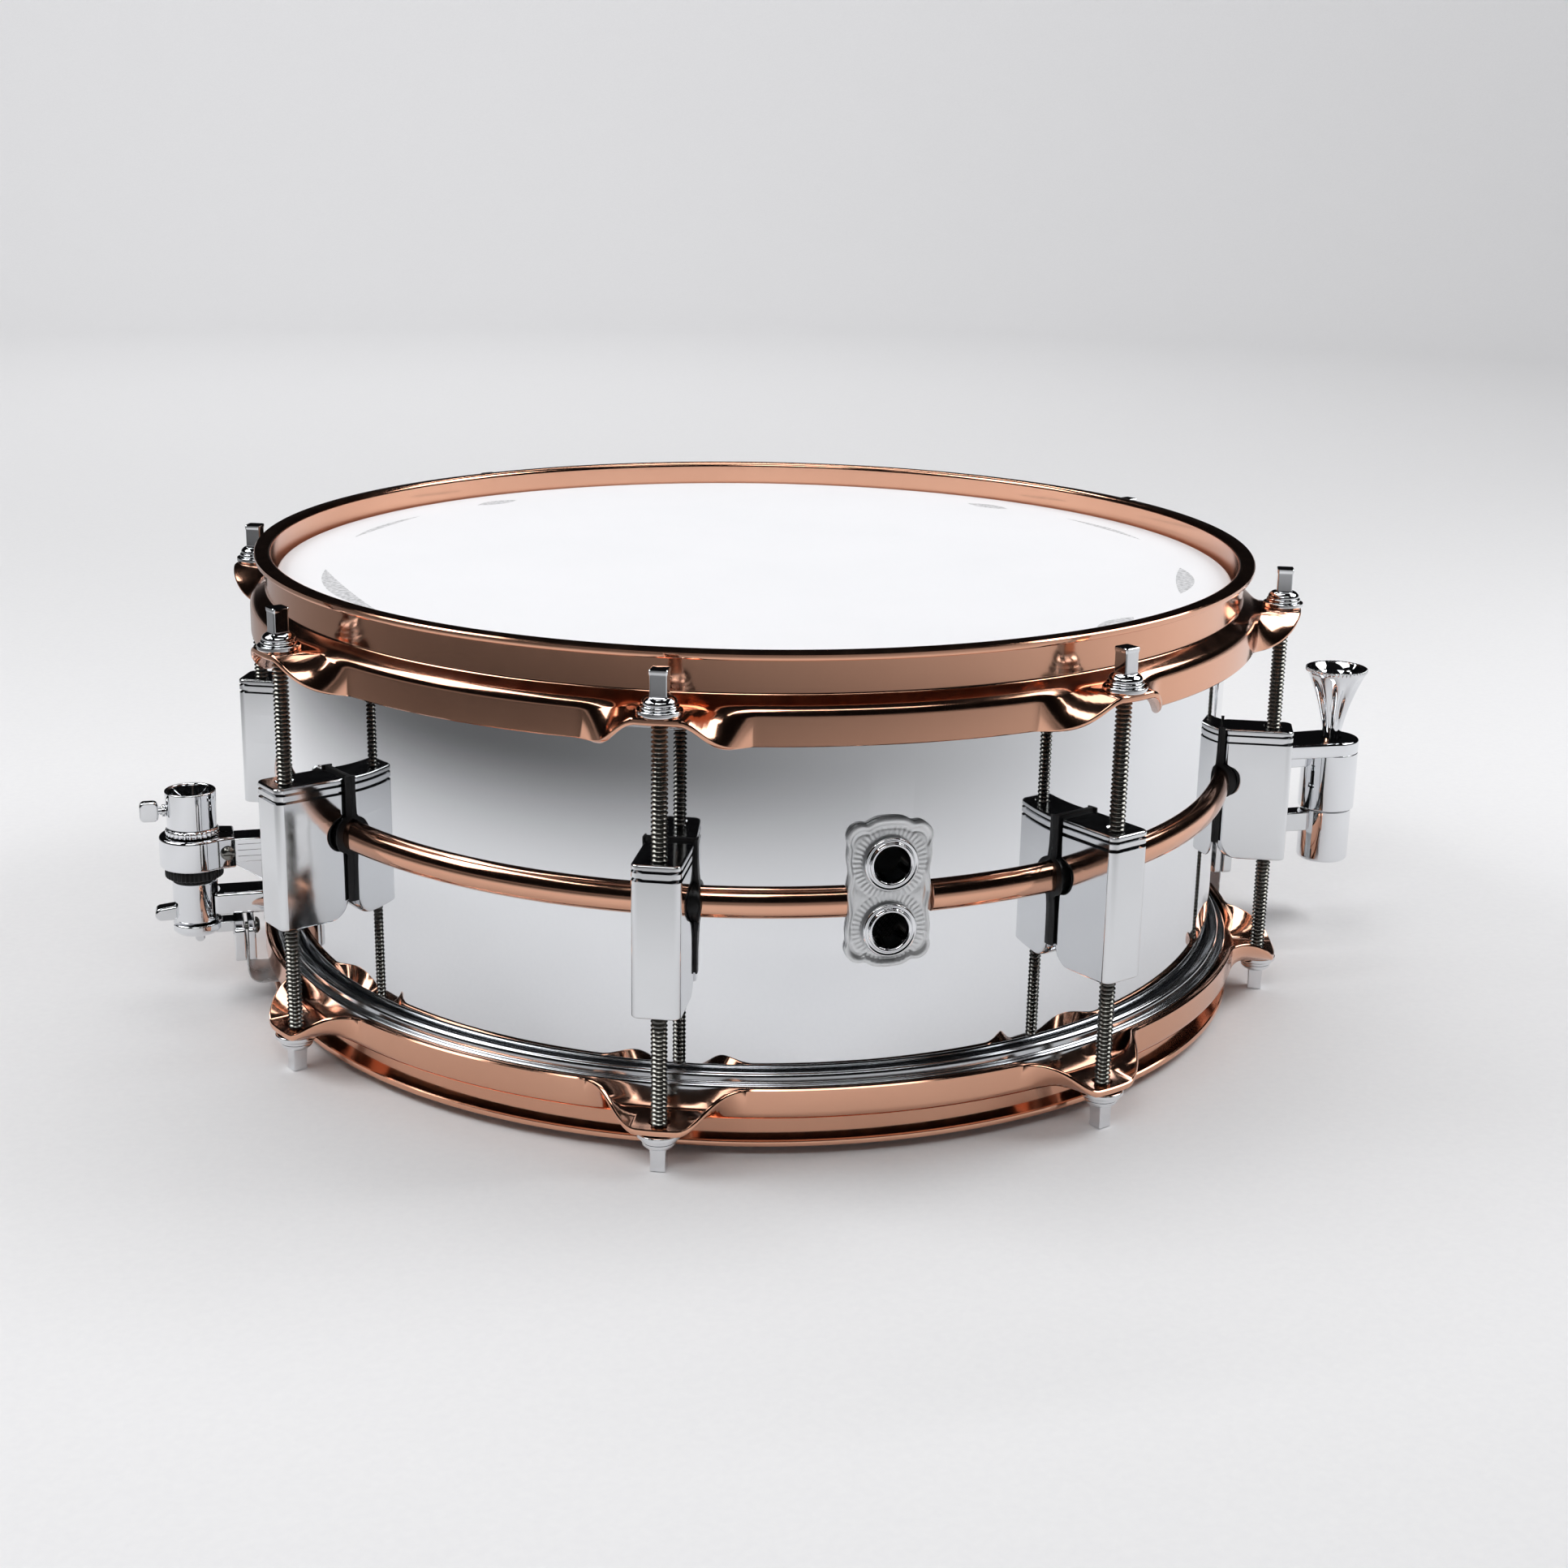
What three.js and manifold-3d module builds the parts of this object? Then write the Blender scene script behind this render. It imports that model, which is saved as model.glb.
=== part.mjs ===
// A 14 inch, eight-lug metal snare drum: chromed shell with a copper bead, two pressed
// triple-flanged hoops, box lugs, sixteen tension rods, a vented badge, an outboard
// throw-off, an outboard butt and twenty snare wires under the lower head.
//
// Millimetres, +Z up. Heights in the source are measured from the bead at the middle of the
// shell; the finished drum is lowered at the end so that the origin is the centre of the
// batter head's playing face. Azimuths are measured from -Y (the badge) towards +X.
import * as THREE from "three";
import { mergeVertices } from "three/addons/utils/BufferGeometryUtils.js";
import Module from "manifold-3d";

const wasm = await Module();
wasm.setup();

// ---------------------------------------------------------------- driving dimensions
const LUGS = 8;
const LUG_STEP = 360 / LUGS;
const FIRST_LUG = -LUG_STEP / 2;
const RING_SIDES = 48;
const CLEARANCE = 0.3;

const SHELL = { radius: 177.6, halfHeight: 74, wall: 1.2, edgeInner: 170.4, edgeBend: 4.6 };
const SNARE_BED = { depth: 1.6, halfAngle: 17, reach: 9 };
const BEAD = { outer: 182.1, halfHeight: 5.1 };
const FILM = 0.4;
const BATTER_FACE = SHELL.halfHeight + CLEARANCE + FILM;

const SHEET = 2.3;
const HOOP_WALL = 181.05;
const HOOP_APRON = 187.0;
const LIP_RADIUS = 185.5;
const HOOP_STATIONS = [0, 2.4, 4.7, 7.9, 14.6, 22.5];
const EAR = { flatAngle: 1.9, bendAngle: 8.8, reach: 17.2, hole: 3.5 };
// Heights of each hoop's mid-surface, all taken as positive towards the hoop's own lip.
const BATTER_HOOP = { lip: 81.9, crown: 82.3, ledge: 68.7, corner: 65.1, apron: 10.6 };
const SNARE_HOOP = { lip: 79.9, crown: 80.3, ledge: 71.2, corner: 69.5, apron: 9.1 };
const GATE = { halfWidth: 22, low: 72.7, high: 78.9 };

const ROD = { circle: 197.3, shaft: 2.75, key: 6.3, tip: 6 };
const BATTER_ROD = { seat: 66.0, head: 80.6 };
const SNARE_ROD = { seat: 70.7, head: 84.6 };
const LUG = { width: 16, inner: 178.4, outer: 204.5, top: 20, bottom: -30.5, bore: 3.3 };

const BADGE = { width: 28.5, height: 50, centre: 2.6, inner: 177.95, outer: 180.3 };
const VENT_HEIGHTS = { upper: 12.6, lower: -9.6 };
const VENT = { bore: 5.7, tube: 6.5, hole: 7.0, rim: 8.5 };

const STRAINER_AXIS = 213;
const COLLAR_BOLT = 200.6;
const LEVER_PIVOT = { x: 218, z: -49.5 };
const BUTT_AXIS = 247;
const STRAP = { width: 24, thickness: 0.5, drop: 195.5, run: -76.05, plate: 165 };
const WIRES = { count: 20, pitch: 2, size: 1.4, top: -75.1, half: 165, plateWidth: 44 };

// ---------------------------------------------------------------- finishes
const finish = (color, roughness, metalness = 1) => ({ color, roughness, metalness });
const CHROME = finish(0xd9dbdd, 0.08);
const COPPER = finish(0xb98a72, 0.15);
const STEEL = finish(0x6c6a66, 0.4);
const SATIN = finish(0xc4c6c8, 0.3);
const BLACK = finish(0x161616, 0.6, 0);
const FILM_WHITE = finish(0xf4f4f6, 0.7, 0);
const FILM_CLEAR = finish(0xd8dce0, 0.35, 0);
const ALUMINIUM = finish(0xb8babd, 0.25);

// ---------------------------------------------------------------- solids and meshes
// A closed three.js geometry as a solid; a mesh that came out inside out is turned round.
function solid(geometry) {
  const bare = new THREE.BufferGeometry();
  bare.setAttribute("position", geometry.getAttribute("position").clone());
  if (geometry.index) bare.setIndex(geometry.index.clone());
  const welded = mergeVertices(bare, 1e-3);
  const corners = welded.index.array;
  const kept = [];
  for (let i = 0; i < corners.length; i += 3) {
    const [a, b, c] = [corners[i], corners[i + 1], corners[i + 2]];
    if (a !== b && b !== c && a !== c) kept.push(a, b, c);
  }
  const build = (indices) =>
    new wasm.Manifold(
      new wasm.Mesh({
        numProp: 3,
        vertProperties: new Float32Array(welded.attributes.position.array),
        triVerts: new Uint32Array(indices),
      }),
    );
  const made = build(kept);
  if (made.volume() > 0) return made;
  return build(kept.toReversed());
}

function geometryOf(body) {
  const { vertProperties, triVerts } = body.getMesh();
  const geometry = new THREE.BufferGeometry();
  geometry.setAttribute("position", new THREE.BufferAttribute(vertProperties, 3));
  geometry.setIndex(new THREE.BufferAttribute(triVerts, 1));
  geometry.computeVertexNormals();
  return geometry;
}

const union = (...bodies) => bodies.reduce((whole, body) => whole.add(body));
const cut = (body, ...tools) => tools.reduce((left, tool) => left.subtract(tool), body);

function piece(name, body, look, parent) {
  const mesh = new THREE.Mesh(geometryOf(body), new THREE.MeshStandardMaterial(look));
  mesh.name = name;
  parent.add(mesh);
  return mesh;
}

// ---------------------------------------------------------------- basic shapes
const point = (x, y) => new THREE.Vector2(x, y);

// A box from its lowest to its highest corner.
function block(low, high) {
  const size = high.map((value, i) => value - low[i]);
  const box = new THREE.BoxGeometry(...size);
  box.translate(...low.map((value, i) => value + size[i] / 2));
  return solid(box);
}

// A section of [radius, height] pairs turned round a vertical axis at (x, y).
function turned(section, sides, x = 0, y = 0) {
  const lathe = new THREE.LatheGeometry(section.map(([r, z]) => point(r, z)), sides);
  lathe.rotateX(Math.PI / 2);
  lathe.translate(x, y, 0);
  return solid(lathe);
}

const post = (radius, low, high, sides, x = 0, y = 0) =>
  turned([[0, low], [radius, low], [radius, high], [0, high]], sides, x, y);

const tube = (inner, outer, low, high, sides, x = 0, y = 0) =>
  turned([[inner, low], [outer, low], [outer, high], [inner, high], [inner, low]], sides, x, y);

// A cylinder that lies along X from x = low to x = high.
function pin(radius, low, high, sides, y, z) {
  const rod = new THREE.CylinderGeometry(radius, radius, high - low, sides);
  rod.rotateZ(Math.PI / 2);
  rod.translate((low + high) / 2, y, z);
  return solid(rod);
}

// A flat outline in the X-Z plane, made as thick as low to high along Y.
function sideSlab(shape, low, high, curveSegments = 6) {
  const slab = new THREE.ExtrudeGeometry(shape, {
    depth: high - low,
    bevelEnabled: false,
    curveSegments,
  });
  slab.rotateX(Math.PI / 2);
  slab.translate(0, high, 0);
  return solid(slab);
}

// A flat outline in the X-Y plane, raised from low to high.
function flatSlab(shape, low, high, curveSegments = 6) {
  const slab = new THREE.ExtrudeGeometry(shape, {
    depth: high - low,
    bevelEnabled: false,
    curveSegments,
  });
  slab.translate(0, 0, low);
  return solid(slab);
}

function roundedRectangle(x0, x1, y0, y1, r) {
  const shape = new THREE.Shape();
  shape.moveTo(x0 + r, y0);
  shape.lineTo(x1 - r, y0);
  shape.absarc(x1 - r, y0 + r, r, -Math.PI / 2, 0);
  shape.lineTo(x1, y1 - r);
  shape.absarc(x1 - r, y1 - r, r, 0, Math.PI / 2);
  shape.lineTo(x0 + r, y1);
  shape.absarc(x0 + r, y1 - r, r, Math.PI / 2, Math.PI);
  shape.lineTo(x0, y0 + r);
  shape.absarc(x0 + r, y0 + r, r, Math.PI, Math.PI * 1.5);
  return shape;
}

// A bend of a sheet's mid-line: a quadratic curve that starts and ends `size` from the corner.
function bend(before, corner, after, size, steps) {
  const start = corner.clone().lerp(before, Math.min(0.49, size / corner.distanceTo(before)));
  const end = corner.clone().lerp(after, Math.min(0.49, size / corner.distanceTo(after)));
  return new THREE.QuadraticBezierCurve(start, corner, end).getPoints(steps);
}

// The closed section of a sheet of even thickness whose mid-line is given.
function sheetSection(midline, thickness) {
  const last = midline.length - 1;
  const side = (sign) =>
    midline.map((p, i) => {
      const into = p.clone().sub(midline[Math.max(i - 1, 0)]).normalize();
      const out = midline[Math.min(i + 1, last)].clone().sub(p).normalize();
      const along = into.clone().add(out).normalize();
      const mitre = i === 0 || i === last ? 1 : 1 / along.dot(out);
      const reach = (sign * mitre * thickness) / 2;
      return point(p.x + along.y * reach, p.y - along.x * reach);
    });
  const outline = [...side(1), ...side(-1).reverse()];
  return [...outline, outline[0].clone()];
}

const onCircle = (radius, azimuth) => {
  const angle = THREE.MathUtils.degToRad(azimuth);
  return [radius * Math.sin(angle), -radius * Math.cos(angle)];
};

// A group whose +X points outwards from the drum's axis at the given azimuth.
function stationAt(azimuth, parent) {
  const group = new THREE.Group();
  group.rotation.z = THREE.MathUtils.degToRad(azimuth - 90);
  parent.add(group);
  return group;
}

// ---------------------------------------------------------------- shell, bead and heads
// The wall turns inwards at 45 degrees into a rolled bearing edge at each end, and the lower
// edge is pressed shallower over the two snare beds.
function makeShell() {
  const { radius, halfHeight, wall, edgeInner, edgeBend } = SHELL;
  const mid = radius - wall / 2;
  const edgeFrom = (corner) => {
    const flange = point(edgeInner, corner - (mid - edgeInner));
    return [flange, ...bend(flange, point(mid, corner), point(mid, 0), edgeBend, 2)];
  };
  const crown = Math.max(...sheetSection(edgeFrom(halfHeight), wall).map((p) => p.y));
  const midline = edgeFrom(2 * halfHeight - crown);
  const lower = midline.map((p) => point(p.x, -p.y)).reverse();
  const section = sheetSection([...midline, ...lower], wall);
  const lathe = new THREE.LatheGeometry(section, RING_SIDES);
  lathe.rotateX(Math.PI / 2);
  pressSnareBeds(lathe);
  const holes = Object.values(VENT_HEIGHTS).map((z) => ventPost(VENT.hole, 168, 184, z));
  return cut(solid(lathe), ...holes);
}

function pressSnareBeds(geometry) {
  const position = geometry.getAttribute("position");
  for (let i = 0; i < position.count; i++) {
    const fromX = Math.abs(position.getX(i)) / Math.hypot(position.getX(i), position.getY(i));
    const away = THREE.MathUtils.radToDeg(Math.acos(Math.min(1, fromX)));
    const nearEdge = -position.getZ(i) - (SHELL.halfHeight - SNARE_BED.reach);
    if (away >= SNARE_BED.halfAngle || nearEdge <= 0) continue;
    const press = 0.5 + 0.5 * Math.cos((Math.PI * away) / SNARE_BED.halfAngle);
    const share = Math.min(1, nearEdge / SNARE_BED.reach);
    position.setZ(i, position.getZ(i) + SNARE_BED.depth * press * share);
  }
}

// A cylinder along Y through the front of the shell, at height z.
function ventPost(radius, near, far, z, sides = 12) {
  const rod = new THREE.CylinderGeometry(radius, radius, far - near, sides);
  rod.translate(0, -(near + far) / 2, z);
  return solid(rod);
}

// The half-round bead is open behind the badge, where the badge plate fills it.
function makeBead() {
  const { outer, halfHeight } = BEAD;
  const inner = SHELL.radius + CLEARANCE;
  const crown = (outer - inner) * 0.72 + inner;
  const section = [
    [inner, -halfHeight],
    [crown, -halfHeight * 0.68],
    [outer, 0],
    [crown, halfHeight * 0.68],
    [inner, halfHeight],
    [inner, -halfHeight],
  ];
  const gap = BADGE.width / 2 + CLEARANCE;
  return cut(turned(section, RING_SIDES), block([-gap, -190, -9], [gap, -160, 9]));
}

// A head: a flat film over the bearing edge with its collar running down to the flesh hoop.
function makeHead(side, collarEnd) {
  const low = SHELL.halfHeight + CLEARANCE;
  const inner = SHELL.radius + CLEARANCE;
  const section = [
    [0, low + FILM],
    [inner - 0.9, low + FILM],
    [inner + FILM, low - 1.1],
    [inner + FILM, collarEnd],
    [inner, collarEnd],
    [inner, low - 1.4],
    [inner - 1.2, low],
    [0, low],
  ];
  return turned(section.map(([r, z]) => [r, side * z]), RING_SIDES);
}

function makeFleshHoop(side, low, high, outer) {
  const inner = SHELL.radius + 2 * CLEARANCE + FILM;
  const corner = 1.6;
  const section = [
    [inner, low],
    [outer - corner, low],
    [outer, low + corner],
    [outer, high - corner],
    [outer - corner, high],
    [inner, high],
    [inner, low],
  ];
  return turned(section.map(([r, z]) => [r, side * z]), RING_SIDES);
}

// ---------------------------------------------------------------- triple-flanged hoops
// How far the apron is folded out at an angle from the nearest ear: 1 on the ear, 0 between.
function earFold(away) {
  return 1 - THREE.MathUtils.smoothstep(away, EAR.flatAngle, EAR.bendAngle);
}

// The hoop's closed section: lip, collar wall, ledge and an apron that the ear folds flat.
function hoopSection(hoop, away) {
  const fold = earFold(away);
  const angle = THREE.MathUtils.lerp(-Math.PI / 2, 0, fold);
  const round = Math.max(0, 1 - (away / EAR.bendAngle) ** 2);
  const length = THREE.MathUtils.lerp(hoop.apron, EAR.reach, fold * round);
  const lip = point(LIP_RADIUS, hoop.lip);
  const crown = point(HOOP_WALL, hoop.crown);
  const ledge = point(HOOP_WALL, hoop.ledge);
  const corner = point(HOOP_APRON, hoop.corner);
  const edge = point(corner.x + length * Math.cos(angle), corner.y + length * Math.sin(angle));
  const midline = [
    lip,
    crown,
    ledge,
    ...bend(ledge, corner, edge, 1.9, 2),
    edge,
  ];
  return sheetSection(midline, SHEET);
}

// One LatheGeometry whose columns are crowded towards the ears and re-cut there to the
// section that the folded apron has; the rod holes and snare gates are then cut through it.
function makeHoop(hoop, side) {
  const steps = HOOP_STATIONS.length - 1;
  const azimuths = [];
  for (let lug = 0; lug < LUGS; lug++) {
    const ear = FIRST_LUG + lug * LUG_STEP;
    HOOP_STATIONS.slice(0, steps).forEach((away) => azimuths.push([ear + away, away]));
    HOOP_STATIONS.slice(1)
      .reverse()
      .forEach((away) => azimuths.push([ear + LUG_STEP - away, away]));
  }
  azimuths.push([FIRST_LUG + 360, 0]);
  const lathe = new THREE.LatheGeometry(hoopSection(hoop, 0), azimuths.length - 1);
  const position = lathe.getAttribute("position");
  const columns = azimuths.map(([azimuth, away]) => [azimuth, hoopSection(hoop, away)]);
  columns.forEach(([azimuth, section], column) =>
    section.forEach((p, row) =>
      position.setXYZ(column * section.length + row, ...onCircle(p.x, azimuth), side * p.y),
    ),
  );
  const tools = [];
  for (let lug = 0; lug < LUGS; lug++) {
    const [x, y] = onCircle(ROD.circle, FIRST_LUG + lug * LUG_STEP);
    const [low, high] = side > 0 ? [50, 90] : [-90, -50];
    tools.push(post(EAR.hole, low, high, 12, x, y));
  }
  if (side < 0) {
    const { halfWidth, low, high } = GATE;
    tools.push(block([178, -halfWidth, -high], [183.5, halfWidth, -low]));
    tools.push(block([-183.5, -halfWidth, -high], [-178, halfWidth, -low]));
  }
  return cut(solid(lathe), ...tools);
}

// ---------------------------------------------------------------- lugs and tension rods
// A box lug seen from above, inset all round by `inset`.
function lugPlan(inset) {
  const { inner, outer, width } = LUG;
  return roundedRectangle(inner, outer - inset, inset - width / 2, width / 2 - inset, 1.8);
}

// The lug's side view: a half-round notch straddles the bead and the lower inner corner is round.
function lugSide() {
  const { inner, outer, top, bottom } = LUG;
  const notch = BEAD.halfHeight + 0.6;
  const shape = new THREE.Shape();
  shape.moveTo(inner, top);
  shape.lineTo(inner, notch);
  shape.absarc(inner, 0, notch, Math.PI / 2, -Math.PI / 2, true);
  shape.lineTo(inner, bottom + 7);
  shape.absarc(inner + 7, bottom + 7, 7, Math.PI, Math.PI * 1.5);
  shape.lineTo(outer, bottom);
  shape.lineTo(outer, top);
  shape.closePath();
  return shape;
}

// A groove parts the cap from the body; one bore takes both rods.
function makeLug() {
  const { top, bottom, bore } = LUG;
  const layers = [
    [0, bottom, top - 4.4],
    [0.8, top - 4.6, top - 2.8],
    [0, top - 3.0, top],
  ].map(([inset, low, high]) => flatSlab(lugPlan(inset), low, high, 1));
  const box = union(...layers).intersect(sideSlab(lugSide(), -LUG.width, LUG.width, 4));
  return cut(box, post(bore, bottom - 1, top + 1, 8, ROD.circle, 0));
}

// A key rod: threaded shaft, two washers, a collar and the square that the drum key turns.
function makeRod({ seat, head }) {
  const shaft = turned(
    [
      [0, ROD.tip],
      [ROD.shaft, ROD.tip],
      [ROD.shaft, seat + CLEARANCE],
      [7.3, seat + CLEARANCE],
      [7.3, seat + 2.4],
      [5.6, seat + 4.8],
      [0, seat + 6.2],
    ],
    8,
  );
  const half = ROD.key / 2;
  return union(shaft, block([-half, -half, seat + 5], [half, half, head]));
}

// ---------------------------------------------------------------- badge and vents
// The badge's outline: arched top and bottom, waisted sides and four round corner lobes.
function badgeShape() {
  const { width, height, centre } = BADGE;
  const [w, h] = [width / 2, height / 2];
  const shape = new THREE.Shape();
  const lobe = 4.6;
  shape.moveTo(w - 1.6, centre - h + 9);
  shape.quadraticCurveTo(w, centre - h + 14, w - 0.6, centre - 6);
  shape.quadraticCurveTo(w + 0.6, centre, w - 0.6, centre + 6);
  shape.quadraticCurveTo(w, centre + h - 14, w - 1.6, centre + h - 9);
  shape.absarc(w - lobe, centre + h - 6.4, lobe, -0.5, Math.PI * 0.62, false);
  shape.quadraticCurveTo(5, centre + h + 0.6, 0, centre + h);
  shape.quadraticCurveTo(-5, centre + h + 0.6, -w + lobe - 1.7, centre + h - 2.1);
  shape.absarc(lobe - w, centre + h - 6.4, lobe, Math.PI * 0.38, Math.PI + 0.5, false);
  shape.quadraticCurveTo(-w, centre + h - 14, 0.6 - w, centre + 6);
  shape.quadraticCurveTo(-w - 0.6, centre, 0.6 - w, centre - 6);
  shape.quadraticCurveTo(-w, centre - h + 14, 1.6 - w, centre - h + 9);
  shape.absarc(lobe - w, centre - h + 6.4, lobe, Math.PI - 0.5, Math.PI * 1.62, false);
  shape.quadraticCurveTo(-5, centre - h - 0.6, 0, centre - h);
  shape.quadraticCurveTo(5, centre - h - 0.6, w - lobe + 1.7, centre - h + 2.1);
  shape.absarc(w - lobe, centre - h + 6.4, lobe, -Math.PI * 0.62, 0.5, false);
  return shape;
}

function makeBadge() {
  const blank = sideSlab(badgeShape(), -190, -160, 3);
  const skin = tube(BADGE.inner, BADGE.outer, -40, 40, 2 * RING_SIDES);
  const holes = Object.values(VENT_HEIGHTS).map((z) => ventPost(VENT.hole, 170, 190, z));
  return cut(blank.intersect(skin), ...holes);
}

// An eyelet: a rim outside the badge and a tube that passes through badge and shell.
function makeEyelet(z) {
  const seat = BADGE.outer + CLEARANCE;
  const section = [
    [VENT.bore, 172],
    [VENT.tube, 172],
    [VENT.tube, seat],
    [VENT.rim, seat],
    [VENT.rim - 1, seat + 1.6],
    [VENT.bore + 0.9, seat + 1.6],
    [VENT.bore, seat - 1],
    [VENT.bore, 172],
  ];
  const lathe = new THREE.LatheGeometry(section.map(([r, reach]) => point(r, -reach)), 12);
  lathe.translate(0, 0, z);
  return solid(lathe);
}

// ---------------------------------------------------------------- strap clamps
// The jaw that hangs outside the strap, on the spine of the piece that carries it.
const strapJaw = (low, high) =>
  block([STRAP.drop + 0.55, -13, low], [STRAP.drop + 4.4, 13, high]);

const strapPlate = (low, high, screw) =>
  cut(
    block([STRAP.drop - 3.2, -13, low], [STRAP.drop - 0.55, 13, high]),
    pin(1.9, STRAP.drop - 5, STRAP.drop, 10, 0, screw),
  );

// A round-headed screw that draws the plate towards the jaw, above the end of the strap.
const strapScrew = (z) =>
  union(
    pin(1.5, STRAP.drop - 3.6, STRAP.drop + 0.25, 8, 0, z),
    pin(3.1, STRAP.drop - 5.2, STRAP.drop - 3.5, 10, 0, z),
  );

// ---------------------------------------------------------------- throw-off
// Plate, two arms and the collar that guides the slide.
function makeStrainerBase() {
  const plate = block([178.2, -15, -54], [181.2, 15, -10]);
  const upperArm = block([180.5, -5.5, -30.5], [198.5, 5.5, -21.5]);
  const gusset = new THREE.Shape([point(181, -44), point(199, -32), point(199, -29), point(181, -29)]);
  const web = sideSlab(gusset, -1.6, 1.6);
  const lowerArm = block([180.5, -6.5, -50.5], [207, 6.5, -42]);
  const collar = post(12.2, -32, -20, 24, STRAINER_AXIS, 0);
  const clampEars = block([198, -7.4, -31], [203.5, 7.4, -21]);
  const bore = post(7.8, -60, 0, 18, STRAINER_AXIS, 0);
  const slideRoom = post(8.9, -60, -32.2, 18, STRAINER_AXIS, 0);
  const split = block([197, -0.5, -34], [206, 0.5, -20.9]);
  const boltHole = new THREE.CylinderGeometry(1.9, 1.9, 20, 10);
  boltHole.translate(COLLAR_BOLT, 0, -26);
  return cut(
    union(plate, upperArm, web, lowerArm, collar, clampEars),
    bore,
    slideRoom,
    split,
    solid(boltHole),
  );
}

// The cap screw that closes the split collar.
function makeCollarBolt() {
  const shaft = new THREE.CylinderGeometry(1.5, 1.5, 19, 10);
  shaft.translate(COLLAR_BOLT, 0, -26);
  const head = new THREE.CylinderGeometry(2.7, 2.7, 2.6, 12);
  head.translate(COLLAR_BOLT, -9.0, -26);
  const nut = new THREE.CylinderGeometry(2.7, 2.7, 2.4, 6);
  nut.translate(COLLAR_BOLT, 8.9, -26);
  return union(solid(shaft), solid(head), solid(nut));
}

// The barrel under the collar, its neck through the collar and the screw inside the cup.
function makeStrainerSlide() {
  const barrel = turned(
    [
      [0, -53],
      [7.6, -53],
      [8.2, -52.2],
      [8.2, -37.4],
      [7.3, -36.6],
      [7.3, -19.9],
      [2.6, -19.9],
      [2.6, -14.6],
      [0, -14.6],
    ],
    18,
    STRAINER_AXIS,
  );
  const slot = block([STRAINER_AXIS + 1, -3.6, -54], [STRAINER_AXIS + 12, 3.6, -45.8]);
  const pivot = new THREE.CylinderGeometry(1.25, 1.25, 11, 10);
  pivot.translate(LEVER_PIVOT.x, 0, LEVER_PIVOT.z);
  return union(cut(barrel, slot), solid(pivot));
}

// The open cup that sets the tension: dished inside, toothed round its lower rim.
function makeAdjusterCup() {
  const cup = turned(
    [
      [3.1, -19.5],
      [9.7, -19.5],
      [9.7, -17.6],
      [8.8, -17],
      [9.3, -3],
      [8.0, -3],
      [6.8, -11.4],
      [3.1, -11.4],
      [3.1, -19.5],
    ],
    20,
    STRAINER_AXIS,
  );
  const teeth = [];
  const count = 10;
  for (let i = 0; i < count; i++) {
    const notch = block([9.1, -0.6, -20], [10.5, 0.6, -17.9]);
    teeth.push(notch.rotate([0, 0, (360 * i) / count]).translate([STRAINER_AXIS, 0, 0]));
  }
  return cut(cup, ...teeth, pin(1.9, STRAINER_AXIS + 4, STRAINER_AXIS + 12, 10, 0, -10.6));
}

// The flattened thumb screw in the side of the cup.
function makeThumbScrew() {
  const x = STRAINER_AXIS;
  const stem = pin(1.5, x + 7.4, x + 12, 10, 0, -10.6);
  const wing = roundedRectangle(x + 11.6, x + 18.4, -14.4, -6.8, 1.8);
  return union(stem, sideSlab(wing, -1.9, 1.9, 3));
}

// The ribbed lock ring under the collar.
function makeLockRing() {
  const ring = tube(7.8, 10.6, -36.0, -32.4, 24, STRAINER_AXIS);
  const count = 12;
  const notches = [];
  for (let i = 0; i < count; i++) {
    const notch = block([10.0, -0.45, -37], [11.5, 0.45, -31]);
    notches.push(notch.rotate([0, 0, (360 * i) / count]).translate([STRAINER_AXIS, 0, 0]));
  }
  return cut(ring, ...notches);
}

// The release lever: a paddle whose eye turns on the pin across the slot of the barrel.
function makeLever() {
  const { x, z } = LEVER_PIVOT;
  const side = new THREE.Shape();
  side.absarc(x, z, 2.9, Math.PI * 0.5, Math.PI * 1.5, false);
  side.lineTo(x + 7.6, z - 2.9);
  side.absarc(x + 7.6, z - 0.4, 2.5, -Math.PI / 2, Math.PI / 2, false);
  side.lineTo(x, z + 2.9);
  const hole = new THREE.CylinderGeometry(1.6, 1.6, 20, 10);
  hole.translate(x, 0, z);
  return cut(sideSlab(side, -3.2, 3.2, 5), solid(hole));
}

// The crown that the lever pushes down, with its tab, its spine and the strap jaw.
function makeStrainerClamp() {
  const x = STRAINER_AXIS;
  const crown = turned(
    [
      [0, -58],
      [7.4, -58],
      [9.4, -56],
      [9.4, -53.5],
      [0, -53.5],
    ],
    18,
    x,
  );
  const leverGap = block([x + 1.4, -3.9, -60], [x + 12, 3.9, -50]);
  const tab = roundedRectangle(x - 2.6, x + 1, -62, -56, 1.7);
  const spine = block([STRAP.drop + 3, -4, -58], [x - 6.5, 4, -54]);
  return union(
    cut(crown, leverGap),
    sideSlab(tab, -1.8, 1.8, 4),
    spine,
    cut(strapJaw(-67, -54), pin(1.5, STRAP.drop, STRAP.drop + 6, 10, 0, -57.4)),
  );
}

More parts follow.
